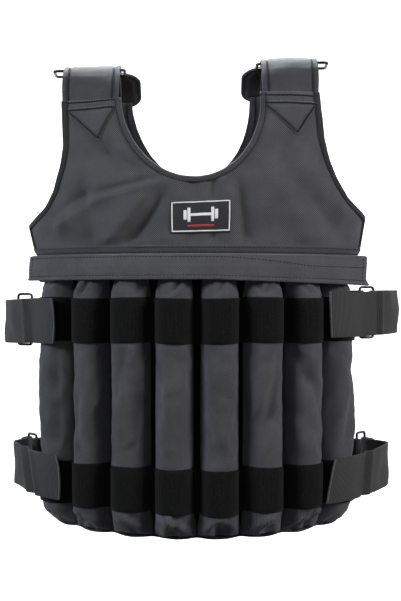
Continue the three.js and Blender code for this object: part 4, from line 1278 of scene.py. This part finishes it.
def add_side_strap(row):
    side = row["side"]
    level = row["level"] + WEBBING_WIDTH / 2 / LENGTH
    seat = CROWN_OUT + BAND_THICKNESS + 1.0 + WEBBING / 2 + 0.6
    ring = np.array([side * (HALF_WIDTH + row["ring"]), SIDE_RING_BACK, -level * LENGTH + row["rise"]])
    turn = math.radians(row["turn"])
    line = np.array([side * math.cos(turn), math.sin(turn), 0])
    aside = line * (SIDE_RING_WIDTH - RING_WIRE) / 2
    path = side_strap_path(row, side, level, seat, ring + aside)
    lean_ends = [on_body(FRONT, float(arc_angle(side * (row["sewn"] + 4) + row["lean"] * share)),
                         level - share * WEBBING_WIDTH / LENGTH, seat) for share in (0.5, -0.5)]
    lean = unit(lean_ends[0] - lean_ends[1])
    count = np.arange(len(path))
    blend = np.clip(1 - count / 16, 0, 1)[:, None]
    across = Z_WAY * (1 - blend) + lean * blend
    rings, way, face = strap_rings(path, across, WEBBING_WIDTH, WEBBING, 18)
    rise = crumple(row, side, path, rings, face)
    # The sewn end bulges a little toward the middle.
    out_end = unit(path[0] - path[6])
    bulge = row["bulge"] * np.clip(1 - (rise / 25) ** 2, 0, 1) * np.clip(1 - count / 7, 0, 1)[:, None]
    rings += out_end * bulge[..., None]
    name = f"side_strap_{row['name']}"
    add_tube(name, rings, WEBBING_CLOTH, (name,))
    threads = []
    for i in (3, 8):
        off = -side * face[i]
        seam = np.linspace(path[i] - way[i] * 23, path[i] + way[i] * 23, 16) + off * 1.15
        threads += stitch_points(seam, np.repeat(off[None, :], 16, 0), radius=0.36)
    add_threads(f"side_strap_stitches_{row['name']}", threads)
    # The sealed end, in the pale painted-highlight colour.
    end = np.linspace(path[0] - way[0] * 24.6, path[0] + way[0] * 24.6, 30)
    end += out_end * (row["bulge"] * (1 - np.linspace(-1, 1, 30) ** 2))[:, None]
    add_bead(f"side_strap_end_{row['name']}", end, way[0], face[0])
    slid = ring + np.array([0, 0, row["slip"]])
    add_wire_ring(f"side_ring_{row['name']}", slid, line, Z_WAY, SIDE_RING_WIDTH, SIDE_RING_HEIGHT, RING_WIRE)
    add_side_tab(row, level - row["rise"] / LENGTH, ring - aside)


def add_side_tab(row, level, wire):
    """The webbing sewn on the outermost back pocket, folded round the inner wire of the ring."""
    side = row["side"]
    on_pocket = pocket_points(BACK, side, (142, 152, 162), level, CROWN_OUT + 0.5 + WEBBING / 2)
    toward = on_pocket[2] - wire
    heading = math.atan2(toward[1], toward[0])
    bend = round_post(wire, heading + side * math.pi / 2, heading + side * 1.5 * math.pi)
    path = smooth_path([*on_pocket, *bend, bend[-1] + unit(toward) * TAB_RETURN], 90, 2)
    rings, _, _ = strap_rings(path, np.tile(Z_WAY, (len(path), 1)), WEBBING_WIDTH, WEBBING, 18)
    name = f"side_tab_{row['name']}"
    add_tube(name, rings, WEBBING_CLOTH, (name,))


# Hem


def add_hem(prefix, half):
    """Tape folded over the bottom edge, drawn in at each groove."""
    runs = np.linspace(-RUN, RUN, 180)
    angle = arc_angle(runs)
    pinch = np.abs(np.cos(runs / PITCH * math.pi)) ** 8
    pinch = np.where(np.abs(runs) > RUN - 6, 0, pinch)
    base = on_body(half, angle, HEM, 5)
    wobble = smooth_noise(base, 16, 4.4 + half) * 0.9
    end = np.clip((np.abs(runs) - RUN + 22) / 22, 0, 1) ** 2
    centre = 5.2 - 1.2 * pinch + 2.5 * end
    depth = 5.6 - 1.6 * pinch
    height = 4.2 + wobble - 0.8 * pinch
    turns = full_turn(18)
    across = np.sign(np.cos(turns)) * np.abs(np.cos(turns)) ** 0.6
    down = np.sign(np.sin(turns)) * np.abs(np.sin(turns)) ** 0.8
    dip = 1.6 - 0.8 * np.cos(runs / PITCH * 2 * math.pi) - 2.5 * end
    rings = []
    for i in range(len(runs)):
        level = HEM + (dip[i] + height[i] * down * 0.62) / LENGTH
        rings.append(on_body(half, angle[i], level, centre[i] + depth[i] * across))
    name = f"{prefix}_hem_binding"
    add_tube(name, rings, TAPE, (name,))
    line = on_body(half, angle, HEM + 1.2 / LENGTH, centre + depth * 0.99)
    face = unit(line - on_body(half, angle, HEM + 1.2 / LENGTH, 0))
    add_threads(f"{prefix}_hem_stitches", stitch_points(line, face, length=2.4, gap=1.4, radius=0.5))


# Assembly

add_panel("front_panel", FRONT)
add_panel("back_panel", BACK)
for n in range(POCKETS):
    add_pocket("front", FRONT, n)
    add_pocket("back", BACK, n)
add_loop_band("front_loop_band_upper", UPPER_BAND, [0.8, 1.2, 1.2, 1.6, 1.6, 1.0, 0.8, 0.6])
add_loop_band("front_loop_band_lower", LOWER_BAND, [0, -1, 0.4, 1.4, 3.8, 0.6, 0, 0])
add_seam_tape()
add_flap("front_flap", FRONT)
add_flap("back_flap", BACK)
add_label()
for patch in SHOULDER_PATCHES:
    add_shoulder_patch(patch)
add_bindings("front", FRONT)
add_bindings("back", BACK)
add_hem("front", FRONT)
add_hem("back", BACK)
add_shoulder("left", -1)
add_shoulder("right", 1)
for strap in SIDE_STRAPS:
    add_side_strap(strap)
